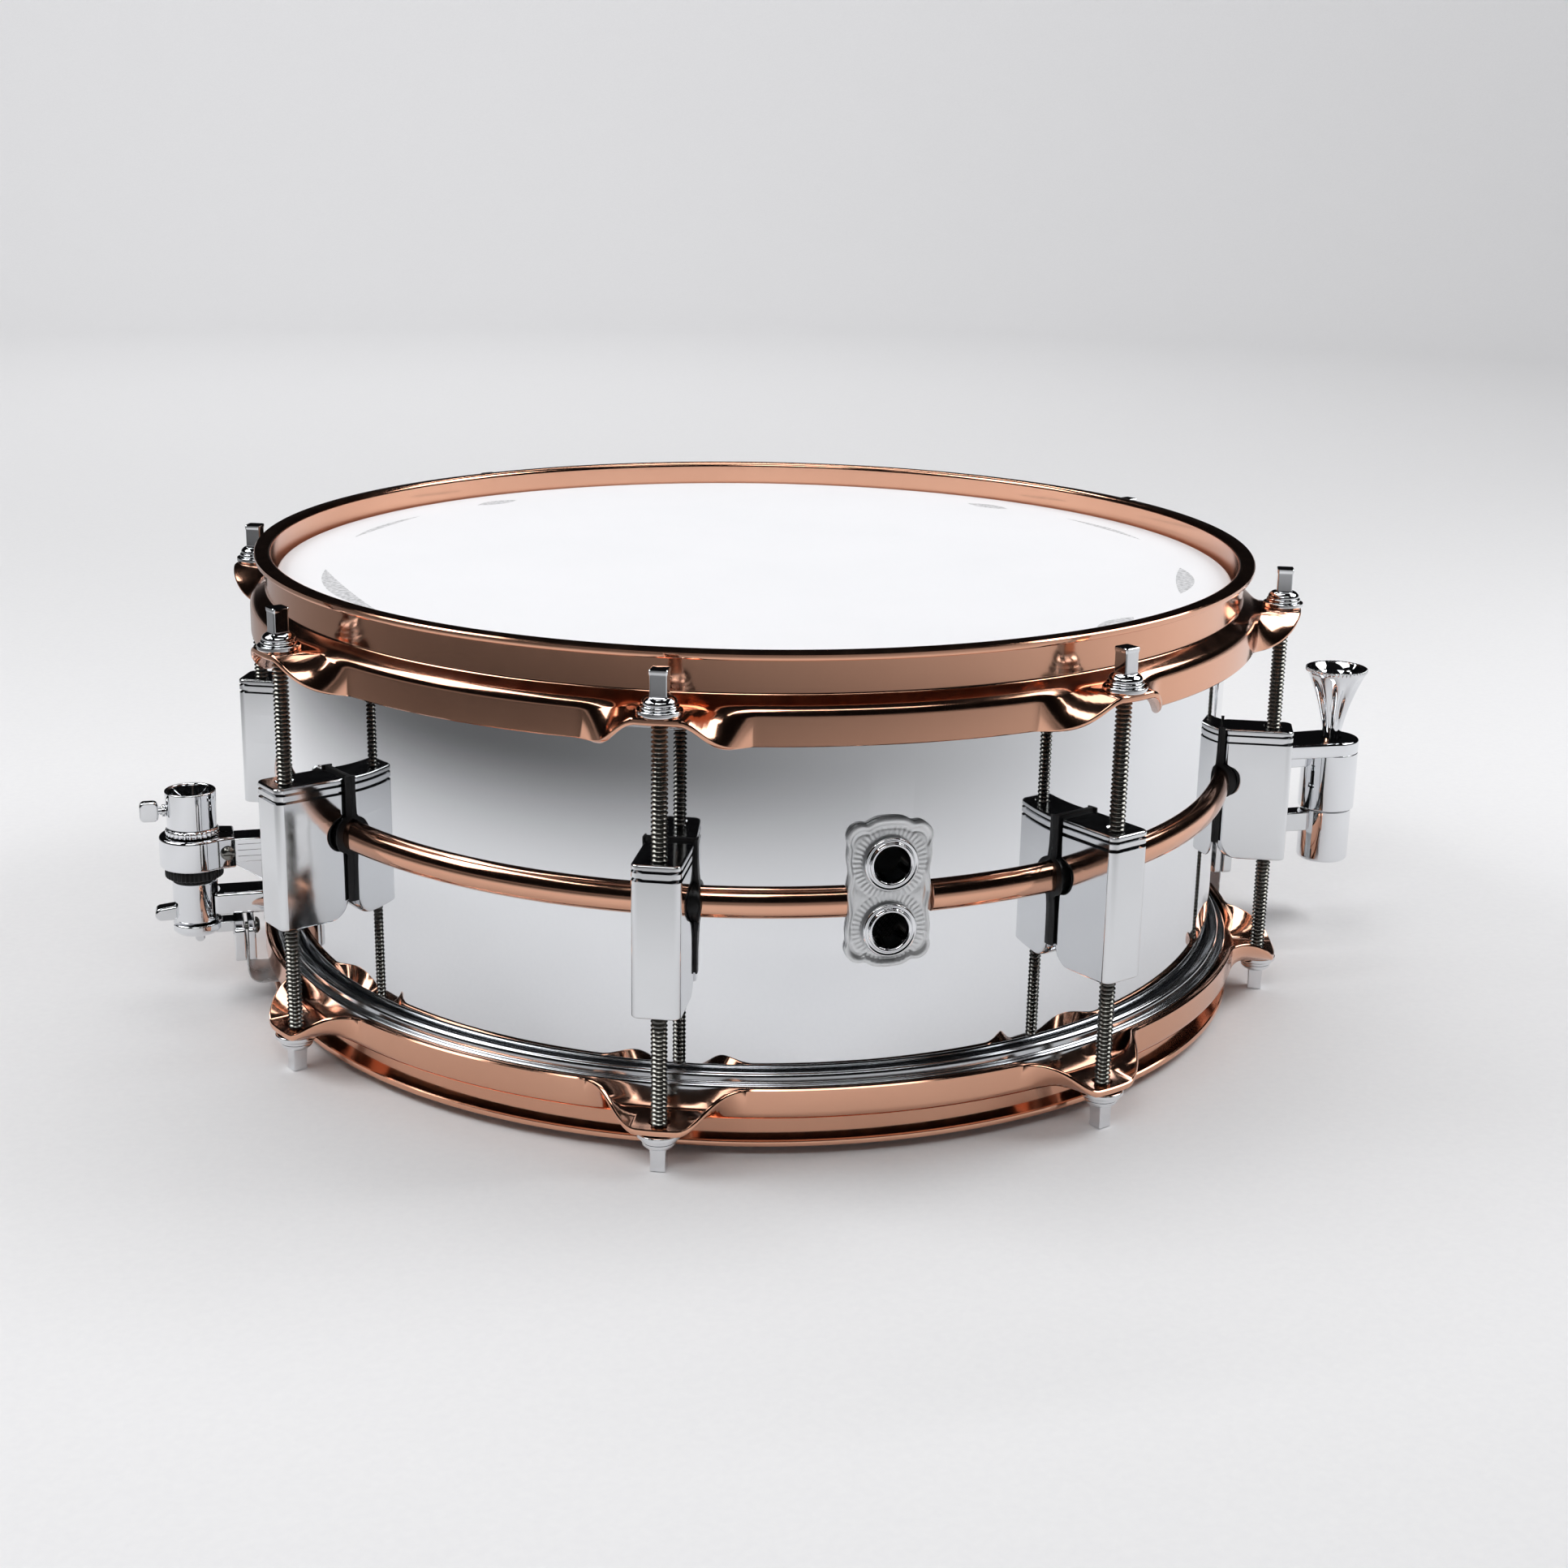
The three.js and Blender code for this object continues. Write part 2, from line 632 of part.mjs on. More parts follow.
// ---------------------------------------------------------------- butt
// Plate, arm with a round boss, web and the fixed upper sleeve.
function makeButtBracket() {
  const x = BUTT_AXIS;
  const plate = block([178.2, -15, -52], [181.2, 15, -8]);
  const plan = new THREE.Shape();
  plan.moveTo(180.5, -8);
  plan.lineTo(x, -11.4);
  plan.absarc(x, 0, 11.4, -Math.PI / 2, Math.PI / 2, false);
  plan.lineTo(180.5, 8);
  const arm = flatSlab(plan, -14, -8, 10);
  const gusset = new THREE.Shape([
    point(181, -33),
    point(x - 30, -20),
    point(x - 9, -20),
    point(x - 9, -13),
    point(181, -13),
  ]);
  const web = sideSlab(gusset, -1.8, 1.8);
  const sleeve = post(11.4, -37.5, -13.5, 24, x, 0);
  return cut(
    union(plate, arm, web, sleeve),
    post(8.7, -40, -18, 18, x, 0),
    post(4.2, -19, -7, 12, x, 0),
  );
}

// The fluted, flared knob: a dished top over a narrow stem that ends in the tension screw.
function makeButtKnob() {
  const flare = new THREE.QuadraticBezierCurve(point(3.7, -6.5), point(5.6, 7), point(12.6, 20.4));
  const side = flare.getPoints(4).map((p) => [p.x, p.y]);
  const knob = turned(
    [
      [0, -33],
      [2.8, -33],
      [2.8, -13],
      [3.7, -12],
      ...side,
      [12.6, 21.5],
      [10.8, 21.5],
      [8.5, 18.4],
      [0, 17.6],
    ],
    20,
    BUTT_AXIS,
  );
  const flutes = [];
  const count = 10;
  for (let i = 0; i < count; i++) {
    const groove = new THREE.CylinderGeometry(2.2, 0.5, 26, 5);
    groove.rotateX(Math.PI / 2);
    groove.rotateY(0.3);
    groove.translate(11.1, 0, 11);
    groove.rotateZ((2 * Math.PI * (i + 0.5)) / count);
    groove.translate(BUTT_AXIS, 0, 0);
    flutes.push(solid(groove));
  }
  return cut(knob, ...flutes);
}

// The lower sleeve that the screw lifts, with its inner neck, spine, strap jaw and hook.
function makeButtSlide() {
  const x = BUTT_AXIS;
  const sleeve = turned(
    [
      [0, -60],
      [9.6, -60],
      [10.4, -59.2],
      [10.4, -38],
      [8.1, -38],
      [8.1, -24],
      [3.3, -24],
      [3.3, -58],
      [0, -58],
    ],
    18,
    x,
  );
  const spine = block([STRAP.drop + 3, -4, -47], [x - 9.6, 4, -39]);
  const tab = sideSlab(roundedRectangle(x + 5.4, x + 8.6, -63, -59.4, 1.5), -1, 1, 3);
  const jaw = cut(strapJaw(-60, -39), pin(1.9, STRAP.drop, STRAP.drop + 6, 10, 0, -43));
  return union(sleeve, spine, jaw, tab);
}

// ---------------------------------------------------------------- snare wires and straps
// Twenty strands soldered between two end plates, each plate stepped to take its strap.
function makeWires() {
  const { count, pitch, size, top, half, plateWidth } = WIRES;
  const bodies = [];
  for (let i = 0; i < count; i++) {
    const y = (i - (count - 1) / 2) * pitch;
    bodies.push(block([8 - half, y - size / 2, top - size], [half - 8, y + size / 2, top - 0.05]));
  }
  [-1, 1].forEach((end) => {
    const spans = [
      [half - 12, half - 5, top],
      [half - 6, half, STRAP.run - STRAP.thickness / 2 - CLEARANCE],
    ];
    spans.forEach(([from, to, height]) => {
      const [low, high] = [end * from, end * to].sort((a, b) => a - b);
      bodies.push(block([low, -plateWidth / 2, top - 2.8], [high, plateWidth / 2, height]));
    });
  });
  return union(...bodies);
}

// A strap: level out through the snare gate, round a bend and up into its clamp.
function makeStrap(top) {
  const level = STRAP.run;
  const corner = point(STRAP.drop, level);
  const midline = [
    point(STRAP.plate - 4.5, level),
    ...bend(point(STRAP.plate, level), corner, point(STRAP.drop, top), 5, 5),
    point(STRAP.drop, top),
  ];
  const outline = new THREE.Shape(sheetSection(midline, STRAP.thickness).slice(0, -1));
  return sideSlab(outline, -STRAP.width / 2, STRAP.width / 2);
}

// ---------------------------------------------------------------- assembly
const root = new THREE.Group();
const drum = new THREE.Group();
drum.position.z = -BATTER_FACE;
root.add(drum);

piece("shell", makeShell(), CHROME, drum);
piece("bead_ring", makeBead(), COPPER, drum);
piece("batter_head", makeHead(1, 59), FILM_WHITE, drum);
piece("snare_head", makeHead(-1, 59), FILM_CLEAR, drum);
piece("batter_flesh_hoop", makeFleshHoop(1, 57.0, 65.7, 184.7), ALUMINIUM, drum);
piece("snare_flesh_hoop", makeFleshHoop(-1, 57.2, 68.9, 184.7), ALUMINIUM, drum);
piece("batter_hoop", makeHoop(BATTER_HOOP, 1), COPPER, drum);
piece("snare_hoop", makeHoop(SNARE_HOOP, -1), COPPER, drum);

for (let lug = 0; lug < LUGS; lug++) {
  const station = stationAt(FIRST_LUG + lug * LUG_STEP, drum);
  piece(`lug_${lug + 1}`, makeLug(), CHROME, station);
  const batterRod = piece(`batter_rod_${lug + 1}`, makeRod(BATTER_ROD), STEEL, station);
  batterRod.position.x = ROD.circle;
  const snareRod = piece(`snare_rod_${lug + 1}`, makeRod(SNARE_ROD), STEEL, station);
  snareRod.position.x = ROD.circle;
  snareRod.rotation.x = Math.PI;
}

piece("badge_plate", makeBadge(), SATIN, drum);
piece("vent_eyelet_upper", makeEyelet(VENT_HEIGHTS.upper), CHROME, drum);
piece("vent_eyelet_lower", makeEyelet(VENT_HEIGHTS.lower), CHROME, drum);

const strainer = stationAt(-90, drum);
piece("strainer_base", makeStrainerBase(), CHROME, strainer);
piece("strainer_collar_bolt", makeCollarBolt(), STEEL, strainer);
piece("strainer_slide", makeStrainerSlide(), CHROME, strainer);
piece("strainer_adjuster_cup", makeAdjusterCup(), CHROME, strainer);
piece("strainer_thumb_screw", makeThumbScrew(), STEEL, strainer);
piece("strainer_lock_ring", makeLockRing(), BLACK, strainer);
piece("strainer_lever", makeLever(), CHROME, strainer);
piece("strainer_strap_clamp", makeStrainerClamp(), CHROME, strainer);
piece("strainer_strap_plate", strapPlate(-67, -54, -57.4), STEEL, strainer);
piece("strainer_strap_screw", strapScrew(-57.4), STEEL, strainer);
piece("strainer_strap", makeStrap(-62.5), SATIN, strainer);

const butt = stationAt(90, drum);
piece("butt_bracket", makeButtBracket(), CHROME, butt);
piece("butt_knob", makeButtKnob(), CHROME, butt);
piece("butt_slide", makeButtSlide(), CHROME, butt);
piece("butt_strap_plate", strapPlate(-60, -39, -43), STEEL, butt);
piece("butt_strap_screw", strapScrew(-43), STEEL, butt);
piece("butt_strap", makeStrap(-48), SATIN, butt);

piece("snare_wires", makeWires(), ALUMINIUM, drum);

export default root;
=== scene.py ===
"""Looks of a 14 inch metal snare drum, built around its packed frame.

Every new surface is worked out in millimetres with numpy, with heights measured from the
bead at the middle of the shell, and is put into the frame's metres at the end.
"""

import logging
import math
from dataclasses import dataclass, field, replace
from enum import Enum
from typing import Callable, Sequence

import bpy
import numpy as np
from mathutils import Matrix, Vector


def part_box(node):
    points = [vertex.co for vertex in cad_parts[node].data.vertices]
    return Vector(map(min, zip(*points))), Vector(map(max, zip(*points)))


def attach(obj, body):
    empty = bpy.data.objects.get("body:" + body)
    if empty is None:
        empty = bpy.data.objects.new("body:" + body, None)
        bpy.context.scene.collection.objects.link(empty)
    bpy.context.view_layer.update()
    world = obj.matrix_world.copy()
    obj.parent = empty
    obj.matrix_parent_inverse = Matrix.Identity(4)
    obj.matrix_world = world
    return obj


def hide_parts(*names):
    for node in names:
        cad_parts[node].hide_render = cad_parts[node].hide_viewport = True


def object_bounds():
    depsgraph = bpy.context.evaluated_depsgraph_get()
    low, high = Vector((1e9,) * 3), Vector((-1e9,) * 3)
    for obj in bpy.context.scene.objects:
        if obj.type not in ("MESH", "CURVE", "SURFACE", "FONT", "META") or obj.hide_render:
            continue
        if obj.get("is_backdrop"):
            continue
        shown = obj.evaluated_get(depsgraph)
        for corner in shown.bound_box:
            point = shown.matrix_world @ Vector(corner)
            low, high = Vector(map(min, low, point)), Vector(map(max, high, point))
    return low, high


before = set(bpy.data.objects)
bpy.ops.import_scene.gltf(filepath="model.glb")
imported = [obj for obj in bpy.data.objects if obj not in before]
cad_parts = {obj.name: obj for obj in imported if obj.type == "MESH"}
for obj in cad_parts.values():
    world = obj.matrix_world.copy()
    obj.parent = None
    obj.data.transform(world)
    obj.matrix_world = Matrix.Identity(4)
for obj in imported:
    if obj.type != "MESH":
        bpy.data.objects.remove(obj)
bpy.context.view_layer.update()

LOG = logging.getLogger("snare_drum")
MM = 0.001
LUG_COUNT = 8
LUG_STEP = 360.0 / LUG_COUNT
FIRST_LUG = -LUG_STEP / 2.0
ROD_CIRCLE = 197.3
SHARP = math.radians(38.0)
FINE = 256

Array = np.ndarray


# ------------------------------------------------------------------ colour and nodes
def linear(code: str) -> tuple[float, float, float, float]:
    """Turns an sRGB hex colour into linear RGBA.

    Args:
        code: six hex digits, such as "e8e9eb".

    Returns:
        The colour as the shaders take it: v / 12.92 below 0.04045, else the 2.4 power curve.
    """
    parts = [int(code[i:i + 2], 16) / 255.0 for i in (0, 2, 4)]
    curve = [v / 12.92 if v <= 0.04045 else ((v + 0.055) / 1.055) ** 2.4 for v in parts]
    return (curve[0], curve[1], curve[2], 1.0)


def add_node(tree: bpy.types.NodeTree, kind: str, settings: dict | None = None,
             inputs: dict | None = None) -> bpy.types.Node:
    """Adds one shader node.

    Args:
        tree: the node tree it goes into.
        kind: the node's type name.
        settings: its own properties by name.
        inputs: socket values by name or number; a socket as the value is linked instead.

    Returns:
        The new node.
    """
    node = tree.nodes.new(kind)
    for key, value in (settings or {}).items():
        setattr(node, key, value)
    for key, value in (inputs or {}).items():
        if isinstance(value, bpy.types.NodeSocket):
            tree.links.new(value, node.inputs[key])
        else:
            node.inputs[key].default_value = value
    return node


class Wear(Enum):
    """How a surface was worked, which sets its fine pattern."""

    BUFFED = "buffed to a mirror, with faint random hairlines"
    TURNED = "polished on a lathe, with hairlines round the axis"
    CAST = "tumbled or moulded, with an even fine grain"
    COATED = "sprayed with a gritty coat"


@dataclass(frozen=True)
class Finish:
    """One finish: a base, a gloss and a worked grain whose spacing is in millimetres."""

    name: str
    colour: str
    shade: str
    metallic: float
    roughness: float
    spread: float
    wear: Wear
    spacing: float
    relief: float
    clear: float = 0.0
    ior: float = 1.5
    coat: float = 0.0

    def material(self) -> bpy.types.Material:
        """Builds the finish once and hands back the same material afterwards.

        Returns:
            A Principled material whose colour drifts slightly between `colour` and `shade`,
            whose roughness drifts by `spread`, and whose bump has the worked grain.
        """
        known = bpy.data.materials.get(self.name)
        if known:
            return known
        made = bpy.data.materials.new(self.name)
        made.use_nodes = True
        tree = made.node_tree
        shader = tree.nodes["Principled BSDF"]
        place = add_node(tree, "ShaderNodeTexCoord").outputs["Object"]
        self._tint(tree, shader, place)
        self._gloss(tree, shader, place)
        self._grain(tree, shader, place)
        shader.inputs["Metallic"].default_value = self.metallic
        if self.metallic < 0.5:
            shader.inputs["IOR"].default_value = self.ior
        if self.clear:
            shader.inputs["Transmission Weight"].default_value = self.clear
        if self.coat:
            shader.inputs["Coat Weight"].default_value = self.coat
            shader.inputs["Coat Roughness"].default_value = 0.08
        return made

    def _tint(self, tree: bpy.types.NodeTree, shader: bpy.types.Node,
              place: bpy.types.NodeSocket) -> None:
        """Links a slow cloud, 60 mm across, that mixes the two colours."""
        cloud = add_node(tree, "ShaderNodeTexNoise", {}, {
            "Vector": place, "Scale": 1000.0 / 60.0, "Detail": 3.0})
        mix = add_node(tree, "ShaderNodeMix", {"data_type": "RGBA"}, {
            0: cloud.outputs["Fac"], 6: linear(self.colour), 7: linear(self.shade)})
        tree.links.new(mix.outputs[2], shader.inputs["Base Color"])

    def _gloss(self, tree: bpy.types.NodeTree, shader: bpy.types.Node,
               place: bpy.types.NodeSocket) -> None:
        """Links a 9 mm smear of handling marks to the roughness."""
        smear = add_node(tree, "ShaderNodeTexNoise", {}, {
            "Vector": place, "Scale": 1000.0 / 9.0, "Detail": 5.0, "Roughness": 0.7})
        low, high = self.roughness - self.spread, self.roughness + self.spread
        gloss = add_node(tree, "ShaderNodeMapRange", {}, {
            "Value": smear.outputs["Fac"], "From Min": 0.3, "From Max": 0.7,
            "To Min": max(0.0, low), "To Max": high})
        tree.links.new(gloss.outputs["Result"], shader.inputs["Roughness"])

    def _grain(self, tree: bpy.types.NodeTree, shader: bpy.types.Node,
               place: bpy.types.NodeSocket) -> None:
        """Links the worked grain to the normal as a bump `relief` millimetres deep."""
        scale = 1000.0 / self.spacing
        if self.wear is Wear.TURNED:
            apart = add_node(tree, "ShaderNodeSeparateXYZ", {}, {0: place})
            flat = add_node(tree, "ShaderNodeVectorMath", {"operation": "MULTIPLY"}, {
                0: place, 1: (1.0, 1.0, 0.0)})
            reach = add_node(tree, "ShaderNodeVectorMath", {"operation": "LENGTH"}, {
                0: flat.outputs[0]})
            place = add_node(tree, "ShaderNodeCombineXYZ", {}, {
                0: reach.outputs["Value"], 2: apart.outputs["Z"]}).outputs[0]
        if self.wear is Wear.BUFFED:
            place = add_node(tree, "ShaderNodeMapping", {}, {
                "Vector": place, "Scale": (1.0, 1.0, 0.08)}).outputs[0]
        detail = 6.0 if self.wear is Wear.COATED else 2.0
        grain = add_node(tree, "ShaderNodeTexNoise", {}, {
            "Vector": place, "Scale": scale, "Detail": detail})
        bump = add_node(tree, "ShaderNodeBump", {}, {
            "Height": grain.outputs["Fac"], "Strength": 1.0, "Distance": self.relief * MM})
        tree.links.new(bump.outputs["Normal"], shader.inputs["Normal"])


# Bright nickel-chrome plate over polished brass: a neutral mirror with a trace of haze.
CHROME = Finish("chrome_plate_polished", "e9eaec", "e2e4e7", 1.0, 0.035, 0.015,
                Wear.BUFFED, 0.6, 0.00035)
# The same plate on small cast fittings, which are tumbled and a little softer.
CAST_CHROME = Finish("chrome_plate_on_casting", "e4e5e7", "d6d8da", 1.0, 0.075, 0.03,
                     Wear.CAST, 0.9, 0.0012)
# Copper plate, polished on the lathe and lacquered: pink-brown with fine turning lines.
COPPER = Finish("copper_plate_polished", "e4b094", "daa388", 1.0, 0.12, 0.03,
                Wear.TURNED, 0.45, 0.0009)
# Polyester film with a sprayed white coat: matt and faintly gritty.
COATED = Finish("coated_polyester_film", "f4f4f7", "eeeff2", 0.0, 0.62, 0.06,
                Wear.COATED, 0.5, 0.02)
# Thin clear polyester film: glossy and see-through, with a slight haze.
CLEAR = Finish("clear_polyester_film", "f4f7fa", "eef2f6", 0.0, 0.06, 0.03,
               Wear.CAST, 2.0, 0.002, clear=0.92, ior=1.2)
# Rolled aluminium section of a head's hoop: bright, drawn along its length.
ALUMINIUM = Finish("drawn_aluminium", "c9cbce", "bdc0c3", 1.0, 0.15, 0.02,
                   Wear.CAST, 1.5, 0.0004)
# Satin nickel of a stamped badge.
SATIN = Finish("satin_nickel_stamping", "e4e5e6", "d9dbdc", 1.0, 0.4, 0.05,
               Wear.CAST, 0.35, 0.003)
# Zinc-plated steel of rolled threads: dark where the thread is deep.
STEEL = Finish("rolled_thread_steel", "8d8c87", "6a6965", 1.0, 0.22, 0.05,
               Wear.CAST, 0.4, 0.003)
# Stainless spring wire of the snares.
WIRE = Finish("stainless_spring_wire", "c8cacc", "b4b6b9", 1.0, 0.2, 0.05,
              Wear.CAST, 0.5, 0.001)
# Milky polyester strap.
STRAP_FILM = Finish("polyester_strap_film", "e6e8ea", "dcdfe2", 0.0, 0.25, 0.08,
                    Wear.CAST, 1.2, 0.004, clear=0.35, ior=1.45)
# Moulded black rubber of gaskets and grip ring.
RUBBER = Finish("moulded_black_rubber", "050506", "0a0a0b", 0.0, 0.4, 0.1,
                Wear.CAST, 0.5, 0.006, ior=1.4)


# ------------------------------------------------------------------ outlines
def soften(outline: Array, radius: float | Array, steps: int = 4, closed: bool = True) -> Array:
    """Rounds every corner of a polyline.

    Each corner c is traded for the curve (1-t)^2 a + 2 t (1-t) c + t^2 b, where a and b lie
    `radius` from c towards its neighbours.

    Args:
        outline: (..., n, 2) corners.
        radius: one reach, or one for each corner.
        steps: points along each curve.
        closed: whether the last corner joins the first.

    Returns:
        The (..., n * steps, 2) rounded outline; an open line keeps its ends.
    """
    before, after = np.roll(outline, 1, -2), np.roll(outline, -1, -2)
    reach = np.array(np.broadcast_to(np.asarray(radius, float), outline.shape[-2]))[:, None]
    if not closed:
        reach[[0, -1]] = 0.0

    def towards(other: Array) -> Array:
        """The point `reach` along the way to the other corner."""
        gap = np.linalg.norm(other - outline, axis=-1, keepdims=True)
        return outline + (other - outline) * np.minimum(0.48, reach / np.maximum(gap, 1e-9))

    a, b = towards(before)[..., None, :], towards(after)[..., None, :]
    t = np.linspace(0.0, 1.0, steps)[:, None]
    curve = (1 - t) ** 2 * a + 2 * t * (1 - t) * outline[..., None, :] + t ** 2 * b
    curve = curve.reshape(*outline.shape[:-2], -1, 2)
    return curve if closed else curve[..., steps - 1:curve.shape[-2] - steps + 1, :]


def arc(x: float, y: float, r: float, start: float, end: float, steps: int) -> Array:
    """Points on a circle round (x, y), from the start to the end angle in radians."""
    angle = np.linspace(start, end, steps)
    return np.stack([x + r * np.cos(angle), y + r * np.sin(angle)], 1)


def rectangle(x0: float, x1: float, y0: float, y1: float, r: float, steps: int = 6) -> Array:
    """A rectangle from (x0, y0) to (x1, y1) with its corners rounded to r."""
    quarter = math.pi / 2
    return np.concatenate([
        arc(x1 - r, y0 + r, r, -quarter, 0, steps), arc(x1 - r, y1 - r, r, 0, quarter, steps),
        arc(x0 + r, y1 - r, r, quarter, 2 * quarter, steps),
        arc(x0 + r, y0 + r, r, 2 * quarter, 3 * quarter, steps)])


def offset(outline: Array, inset: Array) -> Array:
    """Moves a closed outline inwards.

    Args:
        outline: (n, 2) points, anticlockwise.
        inset: (m,) distances.

    Returns:
        (m, n, 2): each point moved along the mean normal of its two edges by inset / cos,
        where cos is the share of that normal on either edge.
    """
    into = outline - np.roll(outline, 1, 0)
    out = np.roll(outline, -1, 0) - outline
    into /= np.maximum(np.linalg.norm(into, axis=1, keepdims=True), 1e-9)
    out /= np.maximum(np.linalg.norm(out, axis=1, keepdims=True), 1e-9)
    along = into + out
    along /= np.maximum(np.linalg.norm(along, axis=1, keepdims=True), 1e-9)
    mitre = 1.0 / np.maximum((along * out).sum(1, keepdims=True), 0.4)
    normal = np.stack([-along[:, 1], along[:, 0]], 1) * mitre
    return outline[None] + normal[None] * inset[:, None, None]


def sheet(midline: Array, thickness: float) -> Array:
    """The closed section of a sheet of even thickness with rolled ends.

    Args:
        midline: (..., n, 2) open middle lines.
        thickness: of the sheet.

    Returns:
        (..., 2n + 6, 2): the line moved half a thickness to one side, a half-round end, the
        line moved to the other side and the other half-round end.
    """
    into = np.diff(midline, axis=-2, prepend=2 * midline[..., :1, :] - midline[..., 1:2, :])
    out = np.diff(midline, axis=-2, append=2 * midline[..., -1:, :] - midline[..., -2:-1, :])
    into = into / np.maximum(np.linalg.norm(into, axis=-1, keepdims=True), 1e-9)
    out = out / np.maximum(np.linalg.norm(out, axis=-1, keepdims=True), 1e-9)
    along = into + out
    along = along / np.maximum(np.linalg.norm(along, axis=-1, keepdims=True), 1e-9)
    mitre = 1.0 / np.maximum((along * out).sum(-1, keepdims=True), 0.5)
    half = thickness / 2
    side = np.stack([along[..., 1], -along[..., 0]], -1) * mitre * half
    one, other = midline + side, midline - side

    def cap(end: Array, away: Array, across: Array) -> Array:
        """Three points of a half-round end: end + half (away sin a + across cos a)."""
        angle = np.radians([45.0, 90.0, 135.0])[:, None]
        return (end[..., None, :] + half * 0.5 * away[..., None, :] * np.sin(angle)
                + across[..., None, :] * np.cos(angle))

    last = cap(midline[..., -1, :], out[..., -1, :], side[..., -1, :])
    first = cap(midline[..., 0, :], -into[..., 0, :], -side[..., 0, :])
    return np.concatenate([one, last, other[..., ::-1, :], first], -2)


# ------------------------------------------------------------------ skins
@dataclass
class Skin:
    """Vertices in millimetres with their faces."""

    points: Array
    quads: Array = field(default_factory=lambda: np.zeros((0, 4), int))
    rings: list[Array] = field(default_factory=list)

    def moved(self, change: Callable[[Array], Array]) -> "Skin":
        """The same faces on changed vertices."""
        return replace(self, points=change(self.points))

    def shifted(self, x: float = 0.0, y: float = 0.0, z: float = 0.0) -> "Skin":
        """The skin moved by (x, y, z)."""
        return self.moved(lambda p: p + np.array([x, y, z]))

    def swapped(self, order: Sequence[int]) -> "Skin":
        """The skin with its axes taken in another order."""
        return self.moved(lambda p: p[:, list(order)])

    def turned(self, degrees: float, x: float = 0.0, y: float = 0.0) -> "Skin":
        """The skin turned about the vertical through (x, y)."""
        c, s = math.cos(math.radians(degrees)), math.sin(math.radians(degrees))
        spin = np.array([[c, s, 0.0], [-s, c, 0.0], [0.0, 0.0, 1.0]])
        centre = np.array([x, y, 0.0])
        return self.moved(lambda p: (p - centre) @ spin + centre)

    def volume(self) -> float:
        """The signed volume: a third of each face's area vector times its first corner."""
        q = self.points[self.quads]
        cross = np.cross(q[:, 2] - q[:, 0], q[:, 3] - q[:, 1])
        total = (q.mean(1) * cross).sum() / 6.0
        for ring in self.rings:
            p = self.points[ring]
            normal = np.cross(p, np.roll(p, -1, 0)).sum(0)
            total += (p.mean(0) * normal).sum() / 6.0
        return float(total)

    def outward(self) -> "Skin":
        """The closed skin with its faces turned to point out."""
        if self.volume() >= 0:
            return self
        return replace(self, quads=self.quads[:, ::-1], rings=[r[::-1] for r in self.rings])


def joined(*skins: Skin) -> Skin:
    """Several closed skins as one, each facing out."""
    points, quads, rings, base = [], [], [], 0
    for skin in (s.outward() for s in skins):
        points.append(skin.points)
        quads.append(skin.quads + base)
        rings += [ring + base for ring in skin.rings]
        base += len(skin.points)
    return Skin(np.concatenate(points), np.concatenate(quads), rings)


def grid(points: Array, wrap_u: bool, wrap_v: bool, caps: bool = False) -> Skin:
    """A skin on a (u, v) grid of points.

    Args:
        points: (nu, nv, 3).
        wrap_u: whether the last row joins the first.
        wrap_v: whether the last column joins the first.
        caps: whether the first and last rows, each a closed ring, are filled.

    Returns:
        The skin, one quad for each cell.
    """
    nu, nv = points.shape[:2]
    index = np.arange(nu * nv).reshape(nu, nv)
    u = index if wrap_u else index[:-1]
    u_next = np.roll(index, -1, 0) if wrap_u else index[1:]

    def cells(rows: Array) -> tuple[Array, Array]:
        """A row's corners and the corners beside them."""
        return (rows, np.roll(rows, -1, 1)) if wrap_v else (rows[:, :-1], rows[:, 1:])

    (a, b), (d, c) = cells(u), cells(u_next)
    quads = np.stack([a, d, c, b], -1).reshape(-1, 4)
    rings = [index[0], index[-1][::-1]] if caps else []
    return Skin(points.reshape(-1, 3), quads, rings)


def lathe(profile: Array, sides: int = FINE, x: float = 0.0, y: float = 0.0,
          start: float = 0.0, sweep: float = 360.0, ribs: tuple[int, Array] | None = None) -> Skin:
    """A closed profile of (radius, height) carried round a vertical axis at (x, y).

    The point at angle a is (x + r cos a, y + r sin a, z), with r lowered by
    depth * (0.5 - 0.5 cos(count * a)) where ribs are asked for.

    Args:
        profile: (n, 2); a radius of nought is a pole.
        sides: steps round a full turn.
        x: of the axis.
        y: of the axis.
        start: first angle in degrees.
        sweep: how far it goes; less than 360 leaves two flat ends.
        ribs: how many, and the depth at each profile point.

    Returns:
        The closed skin.
    """
    whole = sweep >= 360.0
    count = sides if whole else max(2, int(sides * sweep / 360.0) + 1)
    angle = np.radians(start + np.linspace(0.0, sweep, count, endpoint=not whole))[:, None]
    radius = np.broadcast_to(profile[None, :, 0], (count, len(profile)))
    if ribs:
        radius = radius - ribs[1][None] * (0.5 - 0.5 * np.cos(ribs[0] * angle))
    height = np.broadcast_to(profile[None, :, 1], radius.shape)
    points = np.stack([x + radius * np.cos(angle), y + radius * np.sin(angle), height], -1)
    return grid(points, whole, True, caps=not whole)


